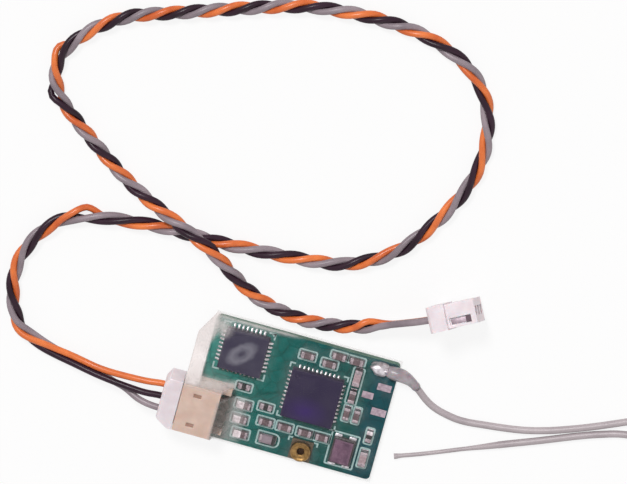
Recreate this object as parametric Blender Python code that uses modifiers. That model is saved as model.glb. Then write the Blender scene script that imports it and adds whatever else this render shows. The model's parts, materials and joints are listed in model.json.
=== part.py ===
"""Radio-control receiver: a bare board in a clear shrink sleeve, with a three-wire lead and one antenna.

Metres, +Z up. The origin is under the middle of the board, on the surface it lies on.
+X runs along the board's long side, away from the header, and +Y across it.
"""

import math

import bmesh
import bpy
from mathutils import Matrix, Vector

# Fit
MM = 0.001
SEAT = 0.00002
PIECE_GAP = 0.0003

# Board
BOARD_LENGTH = 0.0214
BOARD_WIDTH = 0.0146
BOARD_THICKNESS = 0.0008
BOARD_CORNER = 0.0005
BOARD_CORNER_STEPS = 4
PAD_RAISE = 0.00005
PIN_HOLE_CLEARANCE = 0.00008

# Shrink sleeve
FILM = 0.00015
FILM_SIDE_CLEARANCE = 0.0002
FILM_TOP_CLEARANCE = 0.00003
FILM_EDGE = 0.0002
FILM_PAST_BOARD = 0.00015
FILM_FLANGE = 0.005
FILM_CORNER_SLOPE = 0.5
FILM_FALL = 0.35
FILM_CELL = 0.0005
FILM_SAG = 0.000055
FILM_ROUNDS = 80

# Board header, open towards -X
HEADER_DEPTH = 0.0044
HEADER_HEIGHT = 0.0036
HEADER_WALL = 0.0005
HEADER_BACK = 0.0008
HEADER_OVERHANG = 0.0016
HEADER_ACROSS = -0.452
HEADER_SLOT_LENGTH = 0.0009
HEADER_SLOT_WIDTH = 0.00045
HEADER_SLOT_FROM_MOUTH = 0.0014
HEADER_SLOT_FROM_SIDE = 0.0006
EAR_LENGTH = 0.0011
EAR_HEIGHT = 0.0016
EAR_FROM_PIN = 0.0003

# Contacts
CONTACTS = 3
PITCH = 0.0015
PIN_SIZE = 0.00045
PIN_CLEARANCE = 0.00004
PIN_REACH = 0.0029
PIN_BEHIND_HEADER = 0.0007
TERMINAL_SIZE = 0.00095
TERMINAL_FROM_TIP = 0.0005
TERMINAL_BORE = 0.0006
TERMINAL_BORE_DEPTH = 0.003
TERMINAL_CLEARANCE = 0.00005

# Lead plugs
PLUG_WIDTH = 0.006
PLUG_THICKNESS = 0.0034
PLUG_BODY_LENGTH = 0.00205
PLUG_NOSE_WALL = 0.00035
PLUG_NOSE_CLEARANCE = 0.00005
PLUG_TIP_CLEARANCE = 0.0003
PLUG_BACK_SETBACK = 0.0006
PLUG_EDGE = 0.0003
PLUG_EDGE_STEPS = 2
PLUG_WINDOW = 0.0008
PLUG_WINDOW_FROM_TIP = 0.0016
PLUG_RECESS_LENGTH = 0.0025
PLUG_RECESS_WIDTH = 0.0009
PLUG_RECESS_DEPTH = 0.0003
PLUG_RECESS_FROM_TIP = 0.0006
PLUG_RECESS_FROM_MIDDLE = 0.00025

# Far plug, lying on its edge
FAR_PLUG_X = 0.0127
FAR_PLUG_Y = 0.0148
FAR_PLUG_TURN = 30.0
FAR_PLUG_LEAN = 19.4

# Places on the board are given as shares of its half length and half width

# Chips
MCU_SIZE = 0.005
MCU_PLACE = (-0.631, 0.541)
RADIO_SIZE = 0.006
RADIO_PLACE = (0.192, 0.11)
CHIP_HEIGHT = 0.00085
CHIP_BEVEL = 0.00006
LID_BEVEL_STEPS = 2
CHIP_DOT = 0.0005
CHIP_DOT_DEPTH = 0.00008
CHIP_DOT_INSET = 0.0007

# Crystal
CRYSTAL_LENGTH = 0.0032
CRYSTAL_WIDTH = 0.0025
CRYSTAL_BASE_HEIGHT = 0.00055
CRYSTAL_LID_HEIGHT = 0.0002
CRYSTAL_LID_INSET = 0.00018
CRYSTAL_PLACE = (0.645, -0.63)

# Radio test socket
SOCKET_DIAMETER = 0.0024
SOCKET_SIDES = 28
SOCKET_HOLE = 0.0008
SOCKET_HEIGHT = 0.0005
SOCKET_BASE_MARGIN = 0.00005
SOCKET_BASE_HEIGHT = 0.0003
SOCKET_PLACE = (0.224, -0.975)

# Chip parts: name, length, width, height, place along, place across, turned
CHIP_PARTS = (
    ("capacitor_1", 0.0015, 0.00075, 0.0006, 0.028, 0.767, False),
    ("capacitor_2", 0.0015, 0.00075, 0.0006, 0.350, 0.890, False),
    ("capacitor_3", 0.0015, 0.00075, 0.0006, 0.271, 0.726, False),
    ("capacitor_4", 0.0020, 0.00085, 0.0007, 0.593, 0.630, True),
    ("capacitor_5", 0.0015, 0.00075, 0.0006, 0.593, 0.301, True),
    ("capacitor_6", 0.0015, 0.00070, 0.0006, 0.584, 0.000, True),
    ("capacitor_7", 0.0015, 0.00070, 0.0006, 0.692, 0.000, True),
    ("capacitor_8", 0.0018, 0.00085, 0.0007, 0.879, -0.658, True),
    ("capacitor_9", 0.0016, 0.00085, 0.0007, -0.486, -0.315, False),
    ("capacitor_10", 0.0016, 0.00085, 0.0007, -0.486, -0.562, False),
    ("capacitor_11", 0.0016, 0.00085, 0.0007, -0.439, -0.801, False),
    ("capacitor_12", 0.0015, 0.00075, 0.0006, -0.215, -0.500, False),
    ("capacitor_13", 0.0015, 0.00075, 0.0006, -0.005, -0.500, False),
    ("capacitor_14", 0.0015, 0.00075, 0.0006, 0.215, -0.500, False),
    ("capacitor_15", 0.0014, 0.00075, 0.0006, 0.402, -0.500, False),
    ("inductor", 0.0015, 0.00075, 0.0006, 0.542, 0.884, False),
    ("diode", 0.0018, 0.00100, 0.0007, -0.150, -0.767, False),
    ("resistor_1", 0.0014, 0.00070, 0.00045, 0.879, -0.274, True),
    ("resistor_3", 0.0014, 0.00070, 0.00045, -0.252, -0.260, False),
)
# The part behind the header's ear: name, length, width, height, place across, distance from the ear
PART_BY_HEADER = ("resistor_2", 0.0014, 0.00070, 0.00045, -0.027, 0.0004)
END_CAP = 0.0003
END_CAP_PROUD = 0.00003

# Bare antenna pads: length, width, and place as shares of the room that the pad has
BARE_PADS = (
    (0.0013, 0.0008, 0.796, 0.399),
    (0.0016, 0.00085, 0.970, 0.604),
    (0.0017, 0.0009, 0.985, 0.153),
)

# Antenna
SOLDER_LENGTH = 0.0022
SOLDER_WIDTH = 0.0014
SOLDER_HEIGHT = 0.0008
SOLDER_FROM_END = 0.002
SOLDER_FROM_SIDE = 0.001
SOLDER_SEGMENTS = 20
SOLDER_RINGS = 12
COAX_DIAMETER = 0.00081
ELEMENT_DIAMETER = 0.00048
GLUE_WALL = 0.00028
GLUE_CLEARANCE = 0.00002
GLUE_LENGTH = 0.004
LIES_ABOVE_FLOOR = 0.000025
TUBE_POINT_SPACING = 2.4
TUBE_SIDES = 8
CURVE_STEPS = 16

# Lead
WIRE_DIAMETER = 0.00076
LEAD_DIAMETER = WIRE_DIAMETER * (1 + 2 / math.sqrt(3))

# Routes, as points that a smooth curve runs through: x and y in millimetres, then the height above
# where the piece lies on the floor or the board, in its own diameters
LEAD_ROUTE = (
    (-17.4, -3.4, 1.07),
    (-24.4, -2.8, 0.13),
    (-30.9, -1.2, 0.0),
    (-33.1, 1.6, 0.0),
    (-34.0, 5.4, 0.0),
    (-33.5, 8.8, 0.0),
    (-31.6, 12.2, 0.0),
    (-28.4, 14.4, 0.0),
    (-20.2, 15.7, 0.0),
    (-11.5, 15.9, 0.0),
    (-1.2, 16.8, 0.0),
    (3.0, 18.0, 0.0),
    (7.0, 20.8, 0.0),
    (10.3, 25.5, 0.0),
    (12.6, 30.7, 0.0),
    (13.2, 35.5, 0.0),
    (12.0, 40.6, 0.0),
    (9.0, 44.2, 0.0),
    (4.0, 46.4, 0.0),
    (-1.5, 47.0, 0.0),
    (-7.5, 46.6, 0.0),
    (-12.5, 45.5, 0.0),
    (-24.5, 41.1, 0.0),
    (-29.4, 39.1, 0.0),
    (-33.2, 36.0, 0.0),
    (-35.4, 32.2, 0.0),
    (-34.6, 28.4, 0.0),
    (-31.5, 25.3, 0.0),
    (-23.8, 19.8, 0.1),
    (-16.3, 16.75, 1.03),
    (-14.0, 15.7, 1.08),
    (-12.2, 14.5, 0.9),
    (-8.4, 11.4, 0.12),
    (-5.4, 10.1, 0.0),
    (-1.5, 9.5, 0.0),
    (2.0, 9.85, 0.08),
    (5.2, 10.8, 0.37),
    (10.4, 13.5, 1.25),
)

# The antenna's routes start at the solder joint's end, and the first of them lies on the board
COAX_ON_BOARD = (
    (0.15, 0.1, 0.16),
    (1.0, 0.06, 0.13),
    (1.61, 0.0, 0.1),
)
COAX_ROUTE = (
    (2.72, -0.54, 1.07),
    (3.66, -1.36, 0.7),
    (4.44, -2.14, 0.36),
    (5.29, -2.79, 0.11),
    (6.11, -3.19, 0.01),
    (6.98, -3.44, 0.0),
    (8.57, -3.72, 0.0),
    (10.08, -3.7, 0.0),
    (11.6, -3.52, 0.0),
    (13.81, -3.24, 0.0),
    (16.05, -2.86, 0.0),
    (18.01, -2.34, 0.0),
    (20.05, -1.64, 0.0),
    (23.21, -0.33, 0.0),
    (26.85, 1.4, 0.0),
    (29.2, 2.6, 0.0),
    (32.2, 3.9, 0.0),
    (35.7, 4.6, 0.0),
    (38.8, 3.7, 0.0),
    (40.2, 1.3, 0.0),
    (39.2, -0.9, 0.0),
    (36.6, -1.7, 0.0),
    (33.4, -0.75, 0.0),
    (30.2, 0.1, 0.0),
    (27.22, -0.04, 0.0),
    (24.51, -0.86, 0.0),
    (21.87, -1.92, 0.0),
    (18.31, -3.51, 0.0),
    (14.74, -5.03, 0.0),
    (13.9, -5.4, 0.0),
)
ELEMENT_ROUTE = (
    (13.55, -5.56, 0.34),
    (11.91, -6.34, 0.12),
    (9.82, -7.28, 0.0),
    (7.73, -8.23, 0.0),
    (5.63, -9.15, 0.0),
    (4.04, -9.79, 0.0),
    (2.93, -10.21, 0.0),
)

# Sizes and places that follow from the others
BOARD_BOTTOM = FILM + SEAT
BOARD_TOP = BOARD_BOTTOM + BOARD_THICKNESS
PART_BASE = BOARD_TOP + SEAT
CONTACT_OFFSETS = tuple(PITCH * (i - (CONTACTS - 1) / 2) for i in range(CONTACTS))
CONTACT_SPAN = PITCH * (CONTACTS - 1)
PLUG_NOSE_WIDTH = CONTACT_SPAN + TERMINAL_SIZE + 2 * (TERMINAL_CLEARANCE + PLUG_NOSE_WALL)
CAVITY_WIDTH = PLUG_NOSE_WIDTH + 2 * PLUG_NOSE_CLEARANCE
CAVITY_HEIGHT = HEADER_HEIGHT - 2 * HEADER_WALL
HEADER_WIDTH = CAVITY_WIDTH + 2 * HEADER_WALL
HEADER_Y = HEADER_ACROSS * BOARD_WIDTH / 2
HEADER_LOW_Y = HEADER_Y - HEADER_WIDTH / 2
HEADER_HIGH_Y = HEADER_Y + HEADER_WIDTH / 2
HEADER_MOUTH = -BOARD_LENGTH / 2 - HEADER_OVERHANG
HEADER_REAR = HEADER_MOUTH + HEADER_DEPTH
HEADER_TOP = PART_BASE + HEADER_HEIGHT
CONTACT_Z = PART_BASE + HEADER_HEIGHT / 2
EAR_WIDTH = (HEADER_WIDTH - CONTACT_SPAN - PIN_SIZE) / 2 - EAR_FROM_PIN
PIN_LEG_X = HEADER_REAR + PIN_BEHIND_HEADER
PIN_HOLE = PIN_SIZE * math.sqrt(2) + 2 * PIN_HOLE_CLEARANCE
PLUG_NOSE_THICKNESS = CAVITY_HEIGHT - 2 * PLUG_NOSE_CLEARANCE
PLUG_NOSE_LENGTH = HEADER_DEPTH - HEADER_BACK + PLUG_NOSE_CLEARANCE - PLUG_TIP_CLEARANCE
PLUG_LENGTH = PLUG_BODY_LENGTH + PLUG_NOSE_LENGTH
BOARD_PLUG_BACK = HEADER_MOUTH - PLUG_NOSE_CLEARANCE - PLUG_BODY_LENGTH
TERMINAL_FRONT = PLUG_LENGTH - TERMINAL_FROM_TIP
CHIP_TOP = PART_BASE + CHIP_HEIGHT
CRYSTAL_HEIGHT = CRYSTAL_BASE_HEIGHT + SEAT + CRYSTAL_LID_HEIGHT
SOCKET_BASE = SOCKET_DIAMETER + 2 * SOCKET_BASE_MARGIN
SOCKET_TOTAL = SOCKET_BASE_HEIGHT + SEAT + SOCKET_HEIGHT
SOLDER_X = BOARD_LENGTH / 2 - SOLDER_FROM_END
SOLDER_Y = BOARD_WIDTH / 2 - SOLDER_FROM_SIDE
COAX_ORIGIN = Vector((SOLDER_X + SOLDER_LENGTH / 2, SOLDER_Y, 0.0))


def on_board(share, size=(0.0, 0.0)):
    """A place on the board: a share of the room that a piece of that size has, from the middle."""
    return share[0] * (BOARD_LENGTH - size[0]) / 2, share[1] * (BOARD_WIDTH - size[1]) / 2


def new_collection(name):
    """A collection of that name in the scene."""
    made = bpy.data.collections.new(name)
    bpy.context.scene.collection.children.link(made)
    return made


def clear_scene():
    """Removes what the startup scene holds."""
    for obj in list(bpy.data.objects):
        bpy.data.objects.remove(obj, do_unlink=True)


clear_scene()
RECEIVER = new_collection("rc_receiver")
CUTTERS = new_collection("cutters")
CUTTERS.hide_render = True


def material(name, colour, roughness, metallic=0.0, alpha=1.0):
    """A Principled material with one plain colour."""
    made = bpy.data.materials.new(name)
    made.use_nodes = True
    shader = made.node_tree.nodes["Principled BSDF"]
    shader.inputs["Base Color"].default_value = (*colour, 1.0)
    shader.inputs["Roughness"].default_value = roughness
    shader.inputs["Metallic"].default_value = metallic
    shader.inputs["Alpha"].default_value = alpha
    return made


BOARD_GREEN = material("solder_mask_green", (0.02, 0.16, 0.12), 0.35)
CLEAR_FILM = material("clear_film", (0.85, 0.82, 0.82), 0.15, alpha=0.25)
BEIGE_NYLON = material("beige_nylon", (0.60, 0.47, 0.40), 0.45)
WHITE_NYLON = material("white_nylon", (0.84, 0.79, 0.82), 0.4)
CHIP_EPOXY = material("chip_epoxy", (0.06, 0.05, 0.09), 0.45)
TINNED = material("tinned_metal", (0.62, 0.58, 0.60), 0.3, 1.0)
BRASS = material("gilt_brass", (0.55, 0.35, 0.14), 0.3, 1.0)
SOCKET_PLASTIC = material("socket_plastic", (0.05, 0.05, 0.04), 0.5)
CERAMIC = material("capacitor_ceramic", (0.38, 0.30, 0.31), 0.4)
RESISTOR_BLACK = material("resistor_glaze", (0.03, 0.03, 0.03), 0.4)
CRYSTAL_CERAMIC = material("crystal_ceramic", (0.12, 0.10, 0.11), 0.5)
CRYSTAL_METAL = material("crystal_metal", (0.36, 0.25, 0.29), 0.35, 0.6)
GLUE_MILKY = material("milky_glue", (0.62, 0.60, 0.62), 0.3, alpha=0.6)
COAX_GREY = material("coax_grey", (0.36, 0.30, 0.31), 0.4)
WIRE_ORANGE = material("wire_orange", (0.80, 0.20, 0.03), 0.35)


def finish(obj, name, look, collection=None):
    """Names the object, gives it its material and puts it in its collection alone."""
    obj.name = name
    obj.data.name = name
    if look is not None:
        obj.data.materials.clear()
        obj.data.materials.append(look)
    for held in list(obj.users_collection):
        held.objects.unlink(obj)
    (collection or RECEIVER).objects.link(obj)
    return obj


def mesh_object(name, bm, look, collection=None):
    """An object made from a bmesh, which is freed."""
    mesh = bpy.data.meshes.new(name)
    bm.to_mesh(mesh)
    bm.free()
    obj = bpy.data.objects.new(name, mesh)
    bpy.context.scene.collection.objects.link(obj)
    return finish(obj, name, look, collection)


def box(name, low, high, look, collection=None):
    """A box between two corners."""
    size = Vector(high) - Vector(low)
    bm = bmesh.new()
    bmesh.ops.create_cube(bm, size=1.0)
    bmesh.ops.scale(bm, vec=size, verts=bm.verts)
    bmesh.ops.translate(bm, vec=(Vector(low) + Vector(high)) / 2, verts=bm.verts)
    return mesh_object(name, bm, look, collection)


def cylinder(name, centre, diameter, height, look, collection=None, segments=20):
    """An upright cylinder on a centre point."""
    bm = bmesh.new()
    bmesh.ops.create_cone(
        bm,
        cap_ends=True,
        segments=segments,
        radius1=diameter / 2,
        radius2=diameter / 2,
        depth=height,
    )
    bmesh.ops.translate(bm, vec=centre, verts=bm.verts)
    return mesh_object(name, bm, look, collection)


def boolean(obj, other, operation):
    """Cuts the other object from this one, or joins it to this one."""
    modifier = obj.modifiers.new(operation.lower() + "_" + other.name, "BOOLEAN")
    modifier.operation = operation
    modifier.solver = "EXACT"
    modifier.object = other
    other.hide_render = True
    other.display_type = "WIRE"
    return obj


def cut_box(obj, name, low, high):
    """Cuts a box between two corners from the object."""
    return boolean(obj, box(name, low, high, None, CUTTERS), "DIFFERENCE")


def join_box(obj, name, low, high):
    """Joins a box between two corners to the object."""
    return boolean(obj, box(name, low, high, None, CUTTERS), "UNION")


def bevel(obj, width, segments=1):
    """Rounds the object's sharp edges."""
    modifier = obj.modifiers.new("rounded_edges", "BEVEL")
    modifier.width = width
    modifier.segments = segments
    modifier.limit_method = "ANGLE"
    return obj


def smooth(obj):
    """Shades a round piece smooth, with its sharp edges kept."""
    obj.data.shade_smooth()
    obj.data.set_sharp_from_angle(angle=math.radians(40))
    return obj


# Board


def circuit_board():
    """The board, with its rounded corners, header pin holes and bare antenna pads."""
    half = Vector((BOARD_LENGTH / 2, BOARD_WIDTH / 2))
    board = box(
        "circuit_board",
        (-half.x, -half.y, BOARD_BOTTOM),
        (half.x, half.y, BOARD_TOP),
        BOARD_GREEN,
    )
    bm = bmesh.new()
    bm.from_mesh(board.data)
    upright = [e for e in bm.edges if abs((e.verts[0].co - e.verts[1].co).z) > BOARD_THICKNESS / 2]
    bmesh.ops.bevel(
        bm,
        geom=upright,
        offset=BOARD_CORNER,
        segments=BOARD_CORNER_STEPS,
        affect="EDGES",
        profile=0.5,
    )
    bm.to_mesh(board.data)
    bm.free()
    for i, (length, width, *share) in enumerate(BARE_PADS):
        x, y = on_board(share, (length, width))
        join_box(
            board,
            f"bare_pad_{i + 1}",
            (x - length / 2, y - width / 2, BOARD_TOP - BOARD_THICKNESS / 2),
            (x + length / 2, y + width / 2, BOARD_TOP + PAD_RAISE),
        )
    for i, offset in enumerate(CONTACT_OFFSETS):
        hole = cylinder(
            f"pin_hole_{i + 1}",
            (PIN_LEG_X, HEADER_Y + offset, (BOARD_BOTTOM + BOARD_TOP) / 2),
            PIN_HOLE,
            BOARD_THICKNESS * 3,
            None,
            CUTTERS,
            segments=16,
        )
        boolean(board, hole, "DIFFERENCE")
    return board


# Shrink sleeve


def film_supports():
    """What the film lies on: the middle of each piece in plan, its length and width, and its top."""
    header = (HEADER_MOUTH + HEADER_DEPTH / 2, HEADER_Y, HEADER_DEPTH, HEADER_WIDTH, HEADER_TOP)
    ears = (HEADER_REAR, HEADER_Y, 2 * EAR_LENGTH, HEADER_WIDTH, PART_BASE + EAR_HEIGHT)
    pin_reach = 2 * PIN_BEHIND_HEADER + PIN_SIZE
    pins = (HEADER_REAR, HEADER_Y, pin_reach, CONTACT_SPAN + PIN_SIZE, CONTACT_Z + PIN_SIZE / 2)
    crystal_size = (CRYSTAL_WIDTH, CRYSTAL_LENGTH)
    socket_place = on_board(SOCKET_PLACE, (0.0, SOCKET_BASE))
    solder = (SOLDER_X, SOLDER_Y, SOLDER_LENGTH, SOLDER_WIDTH, PART_BASE + SOLDER_HEIGHT)
    glue_side = COAX_DIAMETER + 2 * (GLUE_CLEARANCE + GLUE_WALL)
    glue_top = BOARD_TOP + (COAX_ON_BOARD[0][2] + 0.5) * COAX_DIAMETER + glue_side / 2
    glue = (COAX_ORIGIN.x, COAX_ORIGIN.y, 2 * GLUE_LENGTH, glue_side + GLUE_WALL, glue_top)
    supports = [
        header,
        ears,
        pins,
        (*on_board(MCU_PLACE), MCU_SIZE, MCU_SIZE, CHIP_TOP),
        (*on_board(RADIO_PLACE), RADIO_SIZE, RADIO_SIZE, CHIP_TOP),
        (*on_board(CRYSTAL_PLACE), *crystal_size, PART_BASE + CRYSTAL_HEIGHT),
        (*socket_place, SOCKET_BASE, SOCKET_BASE, PART_BASE + SOCKET_TOTAL),
        solder,
        glue,
    ]
    for _, length, width, height, along_board, across_board, turned in CHIP_PARTS:
        size = (width, length) if turned else (length, width)
        supports.append((*on_board((along_board, across_board)), *size, PART_BASE + height))
    _, length, width, height, across_board, gap = PART_BY_HEADER
    x = HEADER_REAR + EAR_LENGTH + gap + length / 2
    supports.append((x, on_board((0.0, across_board))[1], length, width, PART_BASE + height))
    return supports


def film_rest(x, y, supports):
    """The least height of the film's outer side: over the board, and over each piece close by."""
    near = (FILM_CELL + FILM) / 2
    level = BOARD_TOP + PAD_RAISE - FILM_FALL * max(0.0, -BOARD_LENGTH / 2 - x)
    for middle_x, middle_y, length, width, top in supports:
        if abs(x - middle_x) <= length / 2 + near and abs(y - middle_y) <= width / 2 + near:
            level = max(level, top)
    return level + FILM_TOP_CLEARANCE + FILM


def cells(*stops):
    """Values from the first stop to the last, a cell apart at most, with each stop among them."""
    values = [stops[0]]
    for start, end in zip(stops, stops[1:]):
        count = math.ceil((end - start) / FILM_CELL)
        values += [start + (end - start) * i / count for i in range(1, count + 1)]
    return values


def film_rows():
    """The film's outer points in plan, as rows along the board that start at the film's slanted end."""
    edge = BOARD_WIDTH / 2 + FILM + FILM_SIDE_CLEARANCE
    header_end = HEADER_REAR + 2 * FILM
    along_board = cells(HEADER_MOUTH, -BOARD_LENGTH / 2, header_end, BOARD_LENGTH / 2 + FILM_PAST_BOARD)
    rows = []
    for y in cells(-edge, HEADER_HIGH_Y + 2 * FILM, edge):
        cut = max(0.0, y - HEADER_HIGH_Y - FILM_FLANGE) * FILM_CORNER_SLOPE
        share = cut / (header_end - HEADER_MOUTH)
        rows.append([Vector((x + share * max(0.0, header_end - x), y, 0.0)) for x in along_board])
    return rows


def drape(rows):
    """Hangs the film over what is below, with tents between: a mean of neighbours, less a sag."""
    supports = film_supports()
    for point in (point for row in rows for point in row):
        point.z = film_rest(point.x, point.y, supports)
    ground = [[point.z for point in row] for row in rows]
    pairs = []
    for lower, upper in zip(rows, rows[1:]):
        pairs += zip(lower, upper)
        pairs += zip(lower, upper[1:])
        pairs += zip(lower[1:], upper)
    for row in rows:
        pairs += zip(row, row[1:])
    halfway = [film_rest(*((a + b) / 2).xy, supports) for a, b in pairs]
    for _ in range(FILM_ROUNDS):
        for lower, row, upper, least in zip(rows, rows[1:], rows[2:], ground[1:]):
            for i, point in enumerate(row):
                before = row[max(i - 1, 0)].z
                after = row[min(i + 1, len(row) - 1)].z
                mean = (before + after + lower[i].z + upper[i].z) / 4
                point.z = max(least[i], mean - FILM_SAG)
        for (a, b), least in zip(pairs, halfway):
            lift = max(0.0, least - (a.z + b.z) / 2)
            a.z += lift
            b.z += lift


def shrink_sleeve():
    """The clear film shrunk round the board, open at both ends: a draped grid, closed below, made thick."""
    rows = film_rows()
    drape(rows)
    bm = bmesh.new()
    bmesh.ops.create_grid(bm, x_segments=len(rows[0]) - 1, y_segments=len(rows) - 1, size=0.5)
    bm.verts.ensure_lookup_table()
    for vert, point in zip(list(bm.verts), (point for row in rows for point in row)):
        vert.co = point
    below = []
    for side in (rows[0][0].y, rows[-1][0].y):
        edges = [e for e in bm.edges if all(abs(v.co.y - side) < MM / 1000 for v in e.verts)]
        for y, z in ((side, FILM_EDGE), (side - math.copysign(FILM_EDGE, side), 0.0)):
            pulled = bmesh.ops.extrude_edge_only(bm, edges=edges)["geom"]
            edges = [item for item in pulled if isinstance(item, bmesh.types.BMEdge)]
            for vert in {vert for edge in edges for vert in edge.verts}:
                vert.co.y = y
                vert.co.z = z
        below += edges
    bmesh.ops.bridge_loops(bm, edges=below)
    bmesh.ops.recalc_face_normals(bm, faces=bm.faces)
    sleeve = mesh_object("shrink_sleeve", bm, CLEAR_FILM)
    modifier = sleeve.modifiers.new("film_thickness", "SOLIDIFY")
    modifier.thickness = FILM
    modifier.offset = -1.0
    modifier.use_even_offset = True
    return sleeve


# Header


def header_housing():
    """The nylon header over the board's edge, with its cavity, slots and rear ears."""
    housing = box(
        "header_housing",
        (HEADER_MOUTH, HEADER_LOW_Y, PART_BASE),
        (HEADER_REAR, HEADER_HIGH_Y, HEADER_TOP),
        BEIGE_NYLON,
    )
    for name, start in (("low_ear", HEADER_LOW_Y), ("high_ear", HEADER_HIGH_Y - EAR_WIDTH)):
        join_box(
            housing,
            "header_" + name,
            (HEADER_REAR - HEADER_BACK / 2, start, PART_BASE),
            (HEADER_REAR + EAR_LENGTH, start + EAR_WIDTH, PART_BASE + EAR_HEIGHT),
        )
    cut_box(
        housing,
        "header_cavity",
        (HEADER_MOUTH - HEADER_DEPTH / 4, HEADER_Y - CAVITY_WIDTH / 2, CONTACT_Z - CAVITY_HEIGHT / 2),
        (HEADER_REAR - HEADER_BACK, HEADER_Y + CAVITY_WIDTH / 2, CONTACT_Z + CAVITY_HEIGHT / 2),
    )
    slot_x = HEADER_MOUTH + HEADER_SLOT_FROM_MOUTH
    for name, y in (
        ("low_slot", HEADER_LOW_Y + HEADER_WALL + HEADER_SLOT_FROM_SIDE),
        ("high_slot", HEADER_HIGH_Y - HEADER_WALL - HEADER_SLOT_FROM_SIDE),
    ):
        cut_box(
            housing,
            "header_" + name,
            (slot_x, y - HEADER_SLOT_WIDTH / 2, CONTACT_Z),
            (slot_x + HEADER_SLOT_LENGTH, y + HEADER_SLOT_WIDTH / 2, HEADER_TOP + HEADER_WALL),
        )
    way = PIN_SIZE / 2 + PIN_CLEARANCE
    for i, offset in enumerate(CONTACT_OFFSETS):
        y = HEADER_Y + offset
        cut_box(
            housing,
            f"header_pin_way_{i + 1}",
            (HEADER_REAR - 2 * HEADER_BACK, y - way, CONTACT_Z - way),
            (HEADER_REAR + HEADER_BACK, y + way, CONTACT_Z + way),
        )
    return housing


def header_pin(name, y):
    """One bent pin: a blade through the header's back and a leg down into the board."""
    half = PIN_SIZE / 2
    tip = HEADER_REAR - HEADER_BACK - PIN_REACH
    foot = BOARD_BOTTOM + PIN_CLEARANCE
    outline = (
        (tip, CONTACT_Z - half),
        (PIN_LEG_X - half, CONTACT_Z - half),
        (PIN_LEG_X - half, foot),
        (PIN_LEG_X + half, foot),
        (PIN_LEG_X + half, CONTACT_Z),
        (PIN_LEG_X, CONTACT_Z + half),
        (tip, CONTACT_Z + half),
    )
    curve = bpy.data.curves.new(name, "CURVE")
    curve.dimensions = "2D"
    curve.fill_mode = "BOTH"
    curve.extrude = half
    spline = curve.splines.new("POLY")
    spline.points.add(len(outline) - 1)
    for point, (x, z) in zip(spline.points, outline):
        point.co = (x, z, 0.0, 1.0)
    spline.use_cyclic_u = True
    pin = bpy.data.objects.new(name, curve)
    bpy.context.scene.collection.objects.link(pin)
    finish(pin, name, TINNED)
    pin.rotation_euler = (math.radians(90), 0.0, 0.0)
    pin.location = (0.0, y, 0.0)
    return pin


# Lead plugs, built lying along +X from the wire side and then placed


def cutter_box(name, low, high):
    """A helper box between two corners, kept with the cutters."""
    return box(name, low, high, None, CUTTERS)


def plug_housing(name, place):
    """A plug's nylon housing, with its contact cavities, latch windows and side recesses."""
    half_width = PLUG_WIDTH / 2
    half_thickness = PLUG_THICKNESS / 2
    nose_y = PLUG_NOSE_WIDTH / 2
    nose_z = PLUG_NOSE_THICKNESS / 2
    housing = box(
        name,
        (0.0, -half_width, -half_thickness),
        (PLUG_BODY_LENGTH, half_width, half_thickness),
        WHITE_NYLON,
    )
    bm = bmesh.new()
    bm.from_mesh(housing.data)
    rear = [e for e in bm.edges if max(e.verts[0].co.x, e.verts[1].co.x) < PLUG_BODY_LENGTH / 2]
    bmesh.ops.bevel(
        bm,
        geom=rear,
        offset=PLUG_EDGE,
        segments=PLUG_EDGE_STEPS,
        affect="EDGES",
        profile=0.5,
    )
    bm.to_mesh(housing.data)
    bm.free()
    nose = cutter_box(
        name + "_nose",
        (PLUG_BODY_LENGTH / 2, -nose_y, -nose_z),
        (PLUG_LENGTH, nose_y, nose_z),
    )
    boolean(housing, nose, "UNION")
    hole = TERMINAL_SIZE / 2 + TERMINAL_CLEARANCE
    window_x = PLUG_LENGTH - PLUG_WINDOW_FROM_TIP
    cuts = []
    for i, y in enumerate(CONTACT_OFFSETS):
        way = cutter_box(
            f"{name}_way_{i + 1}",
            (-PLUG_BODY_LENGTH, y - hole, -hole),
            (PLUG_LENGTH + PLUG_BODY_LENGTH, y + hole, hole),
        )
        window = cutter_box(
            f"{name}_window_{i + 1}",
            (window_x - PLUG_WINDOW / 2, y - PLUG_WINDOW / 2, 0.0),
            (window_x + PLUG_WINDOW / 2, y + PLUG_WINDOW / 2, PLUG_THICKNESS),
        )
        cuts.extend((way, window))
    recess_end = PLUG_LENGTH - PLUG_RECESS_FROM_TIP
    for side, tag in ((1, "high"), (-1, "low")):
        inner = side * (nose_y - PLUG_RECESS_DEPTH)
        outer = side * (nose_y + PLUG_WIDTH)
        recess = cutter_box(
            f"{name}_{tag}_recess",
            (recess_end - PLUG_RECESS_LENGTH, min(inner, outer), PLUG_RECESS_FROM_MIDDLE),
            (recess_end, max(inner, outer), PLUG_RECESS_FROM_MIDDLE + PLUG_RECESS_WIDTH),
        )
        cuts.append(recess)
    for cut in cuts:
        boolean(housing, cut, "DIFFERENCE")
    for obj in (housing, nose, *cuts):
        obj.matrix_world = place
    return housing


def crimp_terminal(name, place, y):
    """One crimped contact in a plug: a square barrel, bored from its front for the header's pin."""
    half = TERMINAL_SIZE / 2
    bore = TERMINAL_BORE / 2
    terminal = box(
        name,
        (PLUG_BACK_SETBACK, y - half, -half),
        (TERMINAL_FRONT, y + half, half),
        TINNED,
    )
    cutter = cutter_box(
        name + "_bore",
        (TERMINAL_FRONT - TERMINAL_BORE_DEPTH, y - bore, -bore),
        (TERMINAL_FRONT + TERMINAL_BORE, y + bore, bore),
    )
    boolean(terminal, cutter, "DIFFERENCE")
    for obj in (terminal, cutter):
        obj.matrix_world = place
    return terminal


def board_plug_place():
    """The board plug's matrix: in the header, its wires towards -X."""
    return Matrix.Translation((BOARD_PLUG_BACK, HEADER_Y, CONTACT_Z))


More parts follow.
